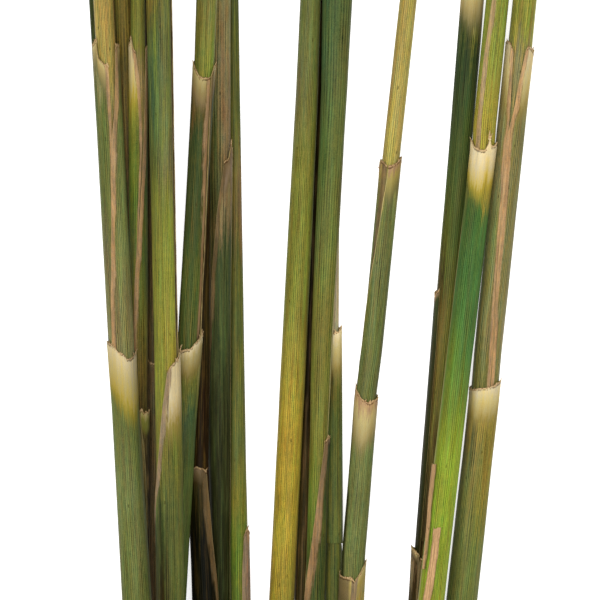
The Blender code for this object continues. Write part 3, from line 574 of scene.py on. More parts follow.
        slot="reed_olive", lines=("olive", 0.3), zone=(0.5, 7, 60),
        pale=[("straw", 1.1), ("culm_gold", 1.1), ("buff", 1)], margins=[("mauve", 1)],
        rows=[(-90.7, 4.4, 18, 370), (-106.7, 4.37, 17, 371), (-128, 4.37, 17, 371)],
        rim=[
            (18, -93.7), (28, -92.3), (40, -91), (55, -89.3), (70, -87.7), (80, -86.7), (88, -86.3),
            (110, -87.3), (180, -88.7), (250, -90.3), (290, -91.3), (320, -92), (335, -92.2), (350, -92.5),
            (362, -92.8), (370, -93.7)],
        # Its left side is darker than its right, and the wide bark stripe at 310 degrees darkens it more:
        # painted shade on its shaded left side.
        left=[(-85, "bark", 0.75), (-100, "olive", 0.95), (-125, "moss")],
        right=[(-85, "culm_gold", 0.95), (-100, "culm_gold", 0.9), (-125, "moss")],
        bands=[(-85, 1.2, 1.2)],
        hairlines=[(-81.7, -130, 310, 310, 3.1, "bark", 0.72)],
        hooks=[(78, 1.2, 0.8, 10, 0.2), (355, 0.8, 0.8, -6, 0.4)],
    ),
    "sheath_right_1_upper": dict(
        slot="reed_teal", lines=("teal", 0.3), zone=(0.45, 12, 50),
        pale=[("straw", 0.95), ("buff", 0.9), ("khaki", 0.9)], margins=[("pink_tan", 1)],
        rows=[
            (102.3, 3.93, -160, 160), (80, 3.97, -166, 166), (50, 3.83, -170, 170), (8.3, 3.77, -171, 171),
            (-13.3, 3.57, -171, 171), (-80.3, 3.47, -171, 171)],
        rim=[(-160, 102.7), (-60, 103.3), (-30, 102.3), (0, 101.7), (20, 102.7), (60, 103), (160, 103.3)],
        left=[
            (105, "umber"), (90, "forest", 1.1), (80, "teal", 0.55), (60, "forest", 0.95), (40, "leaf", 0.8),
            (20, "olive", 0.62), (5, "umber", 1.4), (-6.7, "russet", 1.15), (-33.3, "russet", 1.05),
            (-56.7, "umber", 1.3), (-80.3, "umber")],
        right=[
            (105, "straw"), (90, "olive"), (80, "teal", 0.6), (60, "leaf", 0.85), (40, "leaf", 0.88),
            (20, "leaf", 0.95), (0, "olive", 1.15), (-30, "olive", 1.1), (-50, "russet", 0.95),
            (-80.3, "umber", 1.2)],
        bands=[(105, 0.5, 0.5)],
    ),
    "sheath_right_1_middle": dict(
        slot="reed_olive", lines=("umber", 0.3), zone=(0.4, 2.2, -90),
        pale=[("pink_tan", 1), ("mauve", 1), ("bark", 1)], margins=[("umber", 0.9)],
        rows=[
            (2.7, 4.33, 190, 320), (-16.7, 4.23, 185, 324), (-50, 4.17, 182, 325), (-81.7, 4.03, 180, 326),
            (-100, 3.93, 178, 326)],
        rim=[(190, 3.3), (240, 3.3), (260, 2.7), (275, 1.5), (290, 1.3), (302, 2.7), (320, 3.7)],
        left=[(5, "forest"), (-33.3, "deep", 1.1), (-66.7, "deep", 0.9), (-125, "deep", 0.9)],
        bands=[(5, 0.15, 0.15)],
        hooks=[(285, 1.4, 0.6, -6, 0.3)],
    ),
    "sheath_right_1_lower": dict(
        slot="reed_olive", lines=("dark_brown", 0.3), zone=(0.4, 3.2, -60),
        pale=[("straw", 1), ("bark", 1), ("umber", 1)], margins=[("bark", 1)],
        rows=[(-84, 5.2, -17, 330), (-91.7, 4.8, -17, 336), (-121.3, 4.67, -17, 338)],
        rim=[
            (-17, -85.7), (0, -86.7), (60, -85.3), (180, -83.3), (250, -82), (270, -81.7), (285, -82.2),
            (300, -83), (315, -84), (325, -84.3), (330, -85)],
        left=[(-80, "bark", 1.2), (-88.3, "bark", 0.9), (-95, "umber", 0.8), (-125, "umber", 0.8)],
        right=[(-80, "moss", 1.1), (-100, "sage", 0.95), (-125, "moss")],
        bands=[(-80, 0.6, 0.6)],
        hooks=[(272, 1, 0.9, -4, 0.5), (320, 0.9, 0.8, 0, 0.4)],
    ),
    "sheath_right_2_upper": dict(
        slot="reed_olive", lines=("lime", 0.4), zone=(0.3, 2, 0),
        pale=[("olive", 1), ("olive", 1), ("olive", 1)], margins=[("peach", 0.75), ("umber", 0.9)],
        uncut=True,
        rows=[
            (127.3, 3.83, -14, 334), (100, 3.8, -16, 338), (76.7, 3.83, -31, 323), (53.3, 3.8, -31, 323),
            (36.7, 3.77, -31, 323)],
        rim=[(-14, 127.3), (334, 127.3)],
        left=[
            (125, "pear", 1.05), (98.3, "pear", 1.05), (80, "pear", 1.1), (60, "mustard", 1.35),
            (33.3, "mustard", 1.2)],
        right=[(125, "pear", 1.1), (80, "pear", 1.2), (60, "mustard", 1.4), (33.3, "mustard", 1.2)],
        bands=[(125, 1.9, 0.2), (80, 1.6, 0.25), (33.3, 1.7, 0.25)],
    ),
    "sheath_right_2_lower": dict(
        slot="reed_green", lines=("teal", 0.3), zone=(0.28, 14, 20),
        pale=[("cream", 1.12), ("cream", 1.05), ("gold", 1.3)], margins=[("straw", 1)],
        rows=[
            (51.3, 4.5, -160, 160), (33.3, 4.33, -167, 167), (-16.7, 4.37, -171, 171),
            (-66.7, 4.37, -172, 172), (-125.3, 4.43, -172, 172)],
        rim=[
            (-160, 52), (-100, 52.7), (-80, 53), (-68, 53.3), (-55, 52.8), (-50, 51.3), (-38, 50.7),
            (-20, 50.2), (-5, 49.7), (8, 50), (16, 50.3), (20, 53), (24, 54), (29, 53.8), (33, 51.3),
            (45, 51), (60, 51.7), (80, 52.3), (100, 52.3), (160, 52)],
        left=[
            (55, "mustard"), (33.3, "leaf", 1.05), (20, "emerald", 0.95), (0, "emerald", 1.1),
            (-16.7, "lime", 0.9), (-33.3, "lime", 1.02), (-46.7, "spring", 0.92), (-63.3, "spring"),
            (-86.7, "spring", 0.98), (-125, "mustard")],
        right=[
            (55, "mustard"), (35, "mustard", 0.95), (28.3, "emerald", 1.05), (0, "emerald", 1.1),
            (-16.7, "emerald", 1.25), (-33.3, "lime"), (-46.7, "spring", 0.98), (-63.3, "spring", 1.03),
            (-86.7, "spring", 0.95), (-125, "mustard", 0.95)],
        bands=[(55, 0.4, 0.4)],
        # A pale line down its left edge: a painted highlight.
        hairlines=[(28.3, -113.3, -76, -76, 0.35, "buff", 1.1)],
        hooks=[
            (24, 2.4, 0.9, -3, 0.3), (28, 1.6, 0.5, 4, 0.6), (-68, 0.9, 1, -12, 0.4), (55, 0.9, 1.2, 8, 0.5)],
    ),
    "sheath_right_3_upper": dict(
        slot="reed_olive", lines=("olive", 0.35), zone=(0.5, 21, 0),
        pale=[("cream", 0.98), ("straw", 1.05), ("amber", 0.9)], margins=[("pink_tan", 1.18)],
        rows=[
            (81.7, 4.87, 28, 336), (75, 4.83, 9, 339), (66.7, 4.8, 5, 344), (58.3, 4.77, 1, 352),
            (50, 4.73, -8, 344), (33.3, 4.7, 4, 356), (0, 4.63, 15, 368), (-16.7, 4.53, 29, 381),
            (-46.7, 4.4, 32, 384)],
        rim=[
            (28, 82.3), (34, 84), (42, 84.5), (55, 84), (70, 83), (80, 82.3), (100, 83.3), (180, 85),
            (250, 85.7), (275, 85.8), (290, 86.3), (305, 86.2), (320, 85.3), (329, 83.7), (336, 82.7)],
        left=[
            (88.3, "khaki", 1.6), (70, "khaki", 1.6), (56.7, "khaki", 1.5), (40, "khaki", 1.5),
            (23.3, "sage", 1.2), (-10, "khaki", 1.45), (-50, "olive")],
        right=[
            (88.3, "khaki", 1.4), (70, "khaki", 1.4), (56.7, "khaki", 1.15), (23.3, "khaki", 1.2),
            (-10, "khaki", 1.4), (-50, "olive", 1.1)],
        bands=[
            (86.7, 1.3, 1.2), (75, 1.3, 1.2), (66.7, 1.5, 1.2), (50, 2.1, 1.1), (33.3, 2.2, 1.1),
            (16.7, 1.7, 1.1), (0, 1.3, 1.1), (-50, 1.2, 1.1)],
        hooks=[(60, 0.8, 1, 10, 0.2), (300, 0.8, 1, -10, 0.2)],
    ),
    "sheath_right_3_lower": dict(
        slot="reed_olive", lines=("leaf", 0.3), zone=(0.38, 11, 20),
        pale=[("cream", 1.05), ("straw", 1.1), ("amber", 0.9)], margins=[("pink_tan", 1)],
        rows=[
            (-28.7, 5.23, -160, 160), (-50, 5.07, -166, 166), (-73.3, 5.17, -171, 171),
            (-129.3, 5.2, -172, 172)],
        rim=[
            (-160, -28), (-90, -29.3), (-60, -29.5), (-40, -29.7), (-20, -29.3), (0, -29.2), (20, -28.8),
            (38, -28.2), (55, -27.5), (72, -26.8), (90, -27), (160, -27.7)],
        left=[
            (-25, "khaki", 1.2), (-40, "amber", 0.8), (-50, "khaki", 1.1), (-66.7, "sage", 1.1),
            (-83.3, "moss", 1.3), (-125, "moss", 1.1)],
        right=[
            (-25, "khaki", 1.2), (-38.3, "mustard", 1.05), (-50, "mustard"), (-66.7, "mustard", 0.95),
            (-83.3, "moss", 1.35), (-125, "moss", 1.15)],
        bands=[(-25, 0.6, 0.6)],
        hooks=[(70, 1, 0.9, 8, 0.4), (-70, 0.7, 0.8, -8, 0.3)],
    ),
}

# Strips of torn sheath, and the stem that they cling to.
STRIPPED_STEM = "stem_right_2"
TORN_STRIPS = {
    "torn_strip_1": [
        (-54.7, 4.97, -90, -46), (-68.3, 4.97, -70, -47), (-78.3, 4.97, -58, -37), (-89.3, 4.97, -56, -45),
    ],
    "torn_strip_2": [(-76, 5.53, -49, -37), (-84.3, 5.53, -48, -38)],
    "torn_strip_3": [(-75.7, 5, -22, 6), (-88.3, 5, -24, 5), (-103.3, 5, -36, -6), (-116.7, 5, -38, -16)],
}


def value_at(table, y, column):
    """The value of a table's column at each y. The table's rows start with a falling y."""
    heights = [row[0] for row in table][::-1]
    values = [row[column] for row in table][::-1]
    return np.interp(y, heights, values)


def eased_at(table, y, column, reach=6.0):
    """The same, with its corners rounded off within a reach up and down the reed."""
    near = [value_at(table, y + share * reach, column) for share in (-1, -0.5, 0, 0.5, 1)]
    return sum(near) / len(near)


def ripple(seed, positions, length):
    """A smooth random wave from -1 to 1 along the positions, with bumps about a length apart."""
    rng = np.random.default_rng(seed)
    knots = rng.uniform(-1, 1, 997)
    place = positions / length + 400.0
    base = np.floor(place).astype(int)
    share = place - base
    share = share * share * (3 - 2 * share)
    return knots[base % 997] * (1 - share) + knots[(base + 1) % 997] * share


def seed_of(name):
    """A seed of each piece's own, from its name."""
    return sum((index + 3) * ord(letter) for index, letter in enumerate(name)) % 9973


def deselect_all():
    bpy.ops.object.select_all(action="DESELECT")


def sheet_of(name, columns, rows):
    """A flat grid one metre across, at the floor under the bunch, that a skin is rolled from."""
    deselect_all()
    bpy.ops.mesh.primitive_grid_add(x_subdivisions=columns, y_subdivisions=rows, size=1.0)
    piece = bpy.context.object
    piece.name = name
    piece.data.name = name
    flat = np.empty(len(piece.data.vertices) * 3)
    piece.data.vertices.foreach_get("co", flat)
    flat = flat.reshape(-1, 3)
    return piece, flat[:, 0] + 0.5, 0.5 - flat[:, 1]


def keep_number(piece, name, values):
    """Keeps one number per vertex for the materials to read."""
    attribute = piece.data.attributes.new(name, "FLOAT", "POINT")
    attribute.data.foreach_set("value", np.asarray(values, dtype=np.float32))


def keep_place_on_skin(piece, turn, along):
    """Keeps the angle in turns and the place along the reed, in centimetres, in the piece's UV map."""
    corners = np.empty(len(piece.data.loops), dtype=np.int32)
    piece.data.loops.foreach_get("vertex_index", corners)
    pairs = np.stack([turn[corners] / 360.0, along[corners] / 10.0], axis=1)
    layer = piece.data.uv_layers[0]
    layer.name = "skin"
    layer.data.foreach_set("uv", pairs.astype(np.float32).ravel())


def roll(piece, path, radius, turn, y):
    """Moves the sheet's vertices onto a reed: rings about its centre line, turned and spaced as given."""
    line = [(point[1], point[0], point[2]) for point in path]
    turned = np.radians(turn)
    x = value_at(line, y, 1) + radius * np.sin(turned) + CENTRING[0]
    z = value_at(line, y, 2) + radius * np.cos(turned) + CENTRING[2]
    places = np.stack([x, y + CENTRING[1], z], axis=1) * MM
    piece.data.vertices.foreach_set("co", places.ravel())
    piece.data.update()


def select_only(piece):
    deselect_all()
    piece.select_set(True)
    bpy.context.view_layer.objects.active = piece


def close_seam(piece):
    """Joins the two long edges of a sheet that is rolled all the way round."""
    select_only(piece)
    bpy.ops.object.mode_set(mode="EDIT")
    bpy.ops.mesh.select_all(action="SELECT")
    bpy.ops.mesh.remove_doubles(threshold=0.00001)
    bpy.ops.mesh.normals_make_consistent(inside=False)
    bpy.ops.object.mode_set(mode="OBJECT")


def thicken(piece, wall, materials):
    """Gives the skin its wall, inward, with the inside and the edges in their own materials."""
    for material in materials:
        piece.data.materials.append(material)
    select_only(piece)
    solid = piece.modifiers.new("wall", "SOLIDIFY")
    solid.thickness = wall * MM
    solid.offset = -1.0
    solid.use_even_offset = True
    solid.material_offset = 1
    solid.material_offset_rim = 2
    bpy.ops.object.modifier_apply(modifier="wall")
    bpy.ops.object.shade_smooth_by_angle(angle=math.radians(SMOOTH_BELOW))


def spaced(top, bottom, fine, step):
    """Shares of the way down from a mouth: close together just below it, then a step apart."""
    depths = list(fine)
    length = top - bottom
    steps = max(1, round((length - depths[-1]) / step))
    last = depths[-1]
    for index in range(1, steps + 1):
        depths.append(last + (length - last) * index / steps)
    return np.array(depths) / length


def side_tones(reed):
    """The tones down a reed's left and right side, which are the same where one list is given."""
    return reed["left"], reed.get("right", reed["left"])


def finish_piece(piece, node):
    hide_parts(node)
    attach(piece, "root")


def make_culm(name, stem):
    """A hollow stem with a slightly uneven round, cut across at both ends."""
    path = stem["path"]
    tip = path[0][1]
    foot = path[-1][1]
    levels = spaced(tip, foot, [0, 0.5], ROW_STEP)
    piece, across, down = sheet_of("reed_" + name, STEM_COLUMNS, len(levels) - 1)
    drop = levels[np.rint(down * (len(levels) - 1)).astype(int)]
    turn = -180 + 360 * across
    y = tip + (foot - tip) * drop
    seed = seed_of(name)
    ends = (drop < 0.0001) | (drop > 0.9999)
    y = y + np.where(ends, 0.15 * ripple(seed, 40 + 8 * np.cos(np.radians(turn)), 1.3), 0)
    radius = eased_at(stem["radius"], y, 1, 1.5)
    radius = radius * (1 + 0.012 * ripple(seed + 1, y + 9 * np.cos(np.radians(turn)), 14))
    roll(piece, path, radius, turn, y)
    keep_number(piece, "below", np.minimum(tip - y, y - foot) + 4)
    keep_place_on_skin(piece, turn, y)
    close_seam(piece)
    thicken(piece, STEM_WALL, [culm_skin(name, stem), shared["pith"], shared["cut"]])
    finish_piece(piece, name)


def make_shred(stem, spot, reach):
    """A thin shred that stands off a torn mouth.

    Its spot is (degrees, y, radius) and its reach is (length, width, lean in degrees, curl outward).
    """
    turn, y, radius = spot
    length, width, lean, curl = reach
    piece, across, up = sheet_of("shred", 3, 7)
    rise = 1 - up
    half = np.degrees(width / radius) * (across - 0.5) * (1 - 0.92 * rise ** 1.4)
    turns = turn + half + lean * rise ** 1.5
    heights = y - 0.7 + (length + 0.7) * rise
    roll(piece, stem["path"], radius + curl * rise ** 2, turns, heights)
    keep_number(piece, "below", 0.6 - 1.2 * rise)
    keep_number(piece, "first_margin", np.full(len(turns), 4.0))
    keep_number(piece, "last_margin", np.full(len(turns), 4.0))
    keep_place_on_skin(piece, turns, heights)
    return piece


def make_shreds(name, sheath, stem, rim, radius):
    """Small seeded shreds all around a torn mouth, and the larger ones that stand out by themselves."""
    shreds = []
    rng = np.random.default_rng(seed_of(name))
    degrees = [point[0] for point in rim]
    heights = [point[1] for point in rim]
    for _ in range(0 if sheath.get("uncut") else SHREDS_AT_A_MOUTH):
        turn = rng.uniform(degrees[0] + 4, degrees[-1] - 4)
        y = np.interp(turn, degrees, heights)
        length = rng.uniform(0.15, 0.6)
        width = rng.uniform(0.35, 0.9)
        lean = rng.uniform(-10, 10)
        curl = rng.uniform(-0.1, 0.3)
        shreds.append(make_shred(stem, (turn, y, radius + 0.02), (length, width, lean, curl)))
    for turn, *reach in sheath.get("hooks", []):
        y = np.interp(turn, degrees, heights)
        shreds.append(make_shred(stem, (turn, y, radius + 0.04), reach))
    for shred in shreds:
        thicken(shred, SHRED_WALL, [])
    return shreds


def stem_of(name):
    """The name of the stem that a sheath is rolled around."""
    return "stem_" + "_".join(name.split("_")[1:3])


def straying(seed, y):
    """How many degrees a free edge strays along a sheath: a slow wave and a quick one."""
    return 1.3 * ripple(seed, y, 14) + 0.6 * ripple(seed + 1, y, 2.2)


def make_sheath(name, sheath):
    """A leaf sheath rolled around its stem: torn mouth at the top, thin margins down to the node."""
    stem = STEMS[stem_of(name)]
    rows = sheath["rows"]
    rim = sheath["rim"]
    seed = seed_of(name)
    foot = rows[-1][0]
    top = sum(point[1] for point in rim) / len(rim)
    levels = spaced(top, foot, MOUTH_ROWS, ROW_STEP)
    piece, across, down = sheet_of("reed_" + name, SHEATH_COLUMNS, len(levels) - 1)
    drop = levels[np.rint(down * (len(levels) - 1)).astype(int)]
    share = across - 0.09 * np.sin(2 * math.pi * across)

    mouth_turn = rows[0][2] + share * (rows[0][3] - rows[0][2])
    round_mouth = np.radians(mouth_turn) * rows[0][1]
    mouth = np.interp(mouth_turn, [point[0] for point in rim], [point[1] for point in rim])
    fray = 0.20 * ripple(seed, round_mouth, 0.5)
    fray = fray + 0.55 * np.maximum(0, ripple(seed + 1, round_mouth, 0.9)) ** 2
    if sheath.get("uncut"):
        fray = 0.2 * fray
    y = mouth + (foot - mouth) * drop
    below = mouth - y
    y = y + fray * np.exp(-below / 0.5)

    first = eased_at(rows, y, 2)
    last = eased_at(rows, y, 3)
    lap = np.clip((last - first - CLOSED_FROM) / 8, 0, 1)
    first = first + straying(seed + 2, y) - lap * LAP
    last = last + straying(seed + 4, y)
    turn = first + share * (last - first)

    radius = eased_at(rows, y, 1)
    from_first = share * np.radians(last - first) * radius
    from_last = (1 - share) * np.radians(last - first) * radius
    lift = LAP_LIFT * lap * np.exp(-(from_first / 1.5) ** 2)
    lift = lift - LAP_TUCK * lap * np.exp(-(from_last / 1.5) ** 2)
    lift = lift + EDGE_LIFT * (1 + ripple(seed + 6, y, 5)) * np.exp(-(from_first / 0.5) ** 2)
    flare = (0.08 + 0.10 * ripple(seed + 7, round_mouth, 0.9)) * np.exp(-below / 0.45)
    collar = 0.07 * np.exp(-((below - 1.7) / 0.5) ** 2)
    flutes = 0.018 * radius * ripple(seed + 8, turn / 14 + y / 60, 1.0)
    unevenness = 0.008 * radius * ripple(seed + 9, y + 0.1 * turn, 12)
    radius = radius + lift + flare + collar + flutes + unevenness

    roll(piece, stem["path"], radius, turn, y)
    band = eased_at(sheath["bands"], y, 1)
    other_band = eased_at(sheath["bands"], y, 2)
    keep_number(piece, "below", below)
    keep_number(piece, "first_margin", np.minimum(from_first / band, 4))
    keep_number(piece, "last_margin", np.minimum(from_last / other_band, 4))
    keep_place_on_skin(piece, turn, y)
    thicken(piece, SHEATH_WALL, [sheath_skin(name, sheath), shared["inner_skin"], shared["torn_edge"]])
    shreds = make_shreds(name, sheath, stem, rim, rows[0][1])
    if shreds:
        select_only(piece)
        for shred in shreds:
            shred.data.materials.append(piece.data.materials[0])
            shred.select_set(True)
        bpy.ops.object.join()
    finish_piece(piece, name)


class Value:
    """A number on a shader socket that takes part in Python's sums."""

    def __init__(self, board, socket):
        self.board = board
        self.socket = socket

    def __add__(self, other):
        return self.board.math("ADD", self, other)

    def __radd__(self, other):
        return self.board.math("ADD", other, self)

    def __sub__(self, other):
        return self.board.math("SUBTRACT", self, other)

    def __rsub__(self, other):
        return self.board.math("SUBTRACT", other, self)

    def __mul__(self, other):
        return self.board.math("MULTIPLY", self, other)

    def __rmul__(self, other):
        return self.board.math("MULTIPLY", other, self)


class Board:
    """A material's node tree and its one shader."""

    def __init__(self, name):
        self.material = bpy.data.materials.new(name)
        self.material.use_nodes = True
        self.tree = self.material.node_tree
        self.shader = self.tree.nodes["Principled BSDF"]

    def add(self, kind, settings, inputs, output=0):
        node = self.tree.nodes.new(kind)
        for key, value in settings.items():
            if key == "stops":
                self.set_stops(node.color_ramp, value)
            else:
                setattr(node, key, value)
        for key, value in inputs.items():
            self.feed(node.inputs[key], value)
        return Value(self, node.outputs[output])

    def feed(self, socket, value):
        if isinstance(value, Value):
            self.tree.links.new(value.socket, socket)
        else:
            socket.default_value = value

    def set_stops(self, ramp, stops):
        while len(ramp.elements) < len(stops):
            ramp.elements.new(0.5)
        for element, (place, colour) in zip(ramp.elements, stops):
            element.position = place
            element.color = colour

    def math(self, operation, *numbers):
        return self.add("ShaderNodeMath", {"operation": operation}, dict(enumerate(numbers)))

    def attribute(self, name):
        return self.add("ShaderNodeAttribute", {"attribute_name": name}, {}, "Fac")

    def join(self, x, y, z):
        return self.add("ShaderNodeCombineXYZ", {}, {"X": x, "Y": y, "Z": z})

    def noise(self, vector, scale, detail=1.0, size="2D"):
        inputs = {"Vector": vector, "Scale": scale, "Detail": detail}
        return self.add("ShaderNodeTexNoise", {"noise_dimensions": size}, inputs)

    def grain_of(self, around, along, across, down, seed, detail=1.0):
        """A noise stretched along the reed: bumps to a millimetre across and down it."""
        return self.noise(self.join(around * across + seed, along * down, 0.0), 1.0, detail)

    def ease(self, value, low, high):
        """0 below low, 1 above high, smooth between them."""
        inputs = {"Value": value, "From Min": low, "From Max": high, "To Min": 0.0, "To Max": 1.0}
        return self.add("ShaderNodeMapRange", {"interpolation_type": "SMOOTHSTEP"}, inputs)

    def stripe(self, value, middle, half, soft):
        """1 within half of the middle, falling to 0 over the soft edge."""
        return 1.0 - self.ease(self.math("ABSOLUTE", value - middle), half - soft / 2, half + soft / 2)

    def ramp(self, value, stops):
        return self.add("ShaderNodeValToRGB", {"stops": stops}, {"Fac": value})

    def mix(self, factor, first, second):
        inputs = {0: factor, 6: first, 7: second}
        return self.add("ShaderNodeMix", {"data_type": "RGBA", "clamp_factor": True}, inputs, 2)

    def dim(self, colour, amount):
        return self.add("ShaderNodeVectorMath", {"operation": "SCALE"}, {0: colour, "Scale": amount})

    def tint(self, colour, red, green, blue):
        inputs = {0: colour, 1: self.join(red, green, blue)}
        return self.add("ShaderNodeVectorMath", {"operation": "MULTIPLY"}, inputs)

    def finish(self, colour, roughness, height, depth):
        self.feed(self.shader.inputs["Base Color"], colour)
        self.feed(self.shader.inputs["Roughness"], roughness)
        self.shader.inputs["Specular IOR Level"].default_value = SHINE
        inputs = {"Height": height, "Strength": 0.7, "Distance": depth * MM}
        bump = self.add("ShaderNodeBump", {}, inputs)
        self.feed(self.shader.inputs["Normal"], bump)
        return self.material


def paint(tone, level=1.0):
    """A named tone as the linear colour that shows as that tone under this scene's light."""
    colour = []
    for part in TONES[tone]:
        share = part / 255
        line = share / 12.92 if share <= 0.04045 else ((share + 0.055) / 1.055) ** 2.4
        colour.append(min(0.95, max(0.001, line * level / LIGHT_LEVEL - SHEEN)))
    return (*colour, 1.0)


def tone_stops(stops, top, foot):
    """A colour ramp's stops for tones given by their y, each with its level where that isn't 1."""
    return [((top - y) / (top - foot), paint(*tone)) for y, *tone in stops]


def place_on_skin(board, radius):
    """The turn round a reed, and the millimetres round it and along it, from its skin's own map."""
    skin = board.add("ShaderNodeUVMap", {"uv_map": "skin"}, {})
    turn = board.add("ShaderNodeSeparateXYZ", {}, {"Vector": skin})
    along = Value(board, turn.socket.node.outputs["Y"]) * 10.0
    return turn, turn * (2 * math.pi * radius), along


def skin_board(name, reed, radius):
    """The board of a reed's skin with its base colour.

    The tones run down the left and the right side, and veins, streaks, flecks and spots go over them.
    """
    board = Board("skin_of_" + name)
    turn, around, along = place_on_skin(board, radius)
    seed = float(seed_of(name) % 97)

    fine = board.grain_of(around, along, 1.5, 0.05, seed, 2.0)
    broad = board.grain_of(around, along, 0.5, 0.012, seed)
    patch = board.grain_of(around, along, 0.25, 0.08, seed + 5, 2.0)
    fleck = board.grain_of(around, along, 1.7, 0.42, seed + 9, 2.0)
    grain = board.grain_of(around, along, 3.6, 2.2, seed + 3, 1.0)
    hue = board.grain_of(around, along, 0.85, 0.07, seed + 7, 3.0)
    bloom = board.grain_of(around, along, 0.45, 0.03, seed + 11, 2.0)
    wobble = board.grain_of(around, along, 0.3, 0.02, seed)
    depth = board.ease(board.grain_of(around, along, 0.6, 0.05, seed + 13), 0.35, 0.65)
    veins = board.math("SINE", around * (2 * math.pi / VEIN_PITCH) + wobble * 6.0) * (0.3 + depth)

    side = board.math("SINE", turn * (2 * math.pi))
    side = board.ease(side + (broad - 0.5) * 0.9, -0.75, 0.75)
    left, right = side_tones(reed)
    top = max(left[0][0], right[0][0]) + 1
    foot = min(left[-1][0], right[-1][0]) - 1
    shifted = along + (fine - 0.5) * 16.0 + (broad - 0.5) * 20.0 + (fleck - 0.5) * 6.0
    place = (top - shifted) * (1 / (top - foot))
    left_tones = board.ramp(place, tone_stops(left, top, foot))
    right_tones = board.ramp(place, tone_stops(right, top, foot))
    base = board.mix(side, left_tones, right_tones)

    tone, strength = reed["lines"]
    marks = board.ease(hue * 0.6 + fine * 0.4 + veins * 0.02, 0.46, 0.64)
    base = board.mix(marks * strength, base, paint(tone))
    warm = (hue - 0.5) * 0.9 + (fleck - 0.5) * 0.5 + veins * 0.05
    base = board.tint(base, 1.0 + warm * 0.7, 1.0 + (bloom - 0.5) * 0.4, 1.0 - warm * 0.5)
    shade = 1.0 + (fine - 0.5) * 1.00 + (fleck - 0.5) * 0.45 + (grain - 0.5) * 0.70
    shade = shade + (broad - 0.5) * 0.50 + (patch - 0.5) * 0.30 + veins * 0.32
    base = board.dim(base, shade)
    spots = board.add(
        "ShaderNodeTexVoronoi", {"voronoi_dimensions": "2D"},
        {"Vector": board.join(around * 0.16 + seed, along * 0.05, 0.0), "Scale": 1.0, "Randomness": 1.0},
    )
    spot = (1.0 - board.ease(spots + (grain - 0.5) * 0.03, 0.018, 0.045)) * board.ease(patch, 0.46, 0.54)
    base = board.mix(spot * 0.7, base, paint("umber", 0.8))
    parts = {
        "around": around, "along": along, "fine": fine, "broad": broad, "patch": patch,
        "grain": grain, "fleck": fleck, "veins": veins, "turn": turn, "bloom": bloom,
    }
    return board, base, parts


def hairlines(board, parts, base, reed, radius):
    """Single lines and narrow stripes along a reed: each from a top y and angle to a foot y and angle. The
    pale ones on the sheaths are painted highlights along an edge, and the dark ones are painted shade.
    """
    for top, foot, top_turn, foot_turn, half, tone, level in reed.get("hairlines", []):
        fall = (top - parts["along"]) * (1 / (top - foot))
        middle = fall * ((foot_turn - top_turn) / 360) + top_turn / 360
        away = parts["around"] - middle * (2 * math.pi * radius)
        line = board.stripe(away + (parts["fleck"] - 0.5) * 0.3, 0.0, half, 0.2 + half * 0.4)
        line = line * board.stripe(fall + (parts["fine"] - 0.5) * 0.2, 0.5, 0.5, 0.1)
        speckled = board.mix(parts["grain"], paint(tone, level * 0.7), paint(tone, level * 1.3))
        base = board.mix(line * 0.85, base, speckled)
    return base


def culm_skin(name, stem):
    """The skin of a bare stem: waxy, finely veined, bruised at its cut ends."""
    radius = stem["radius"][-1][1]
    board, base, parts = skin_board(name, stem, radius)
    base = hairlines(board, parts, base, stem, radius)
    below = board.attribute("below") - 4.0
    bruise = 1.0 - board.ease(below + (parts["fine"] - 0.5) * 2.0, 0.1, 1.6)
    base = board.mix(bruise * 0.7, base, paint("bark"))
    roughness = 0.46 + (parts["fine"] - 0.5) * 0.16 + bruise * 0.2
    height = parts["veins"] * 0.4 + parts["fine"] * 1.3 + parts["fleck"] * 0.5
    return board.finish(base, roughness, height, SKIN_RELIEF)


def papery_margin(board, parts, margin, base, tone, level):
    """A dry, fibrous margin of a sheath over its base colour, with a thin bleached hem and a brown border."""
    fine = parts["fine"]
    fleck = parts["fleck"]
    swell = (parts["patch"] - 0.5) * 0.6 + (parts["broad"] - 0.5) * 0.4
    band = 1.0 - board.ease(margin + (fine - 0.5) * 0.8 + (fleck - 0.5) * 0.3 + swell, 0.70, 1.12)
    dry = board.mix(board.ease(parts["patch"], 0.40, 0.60), paint(tone, level), paint(tone, level * 0.8))
    warm = (fleck - 0.5) * 0.8 + (parts["bloom"] - 0.5) * 0.7
    dry = board.tint(dry, 1.0 + warm * 0.3, 1.0 - warm * 0.1, 1.0 - warm * 0.6)
    dry = board.dim(dry, 1.0 + (fine - 0.5) * 1.1 + (fleck - 0.5) * 0.6 + (parts["grain"] - 0.5) * 0.5)
    base = board.mix(band * 0.92, base, dry)
    border = board.stripe(margin + (fine - 0.5) * 0.3 + swell, 0.95, 0.10, 0.12)
    border = border * board.ease(fleck, 0.42, 0.56)
    base = board.mix(border * 0.45, base, paint("umber"))
    hem = 1.0 - board.ease(margin, 0.03, 0.09)
    return board.mix(hem * 0.3, base, paint("straw", level)), band


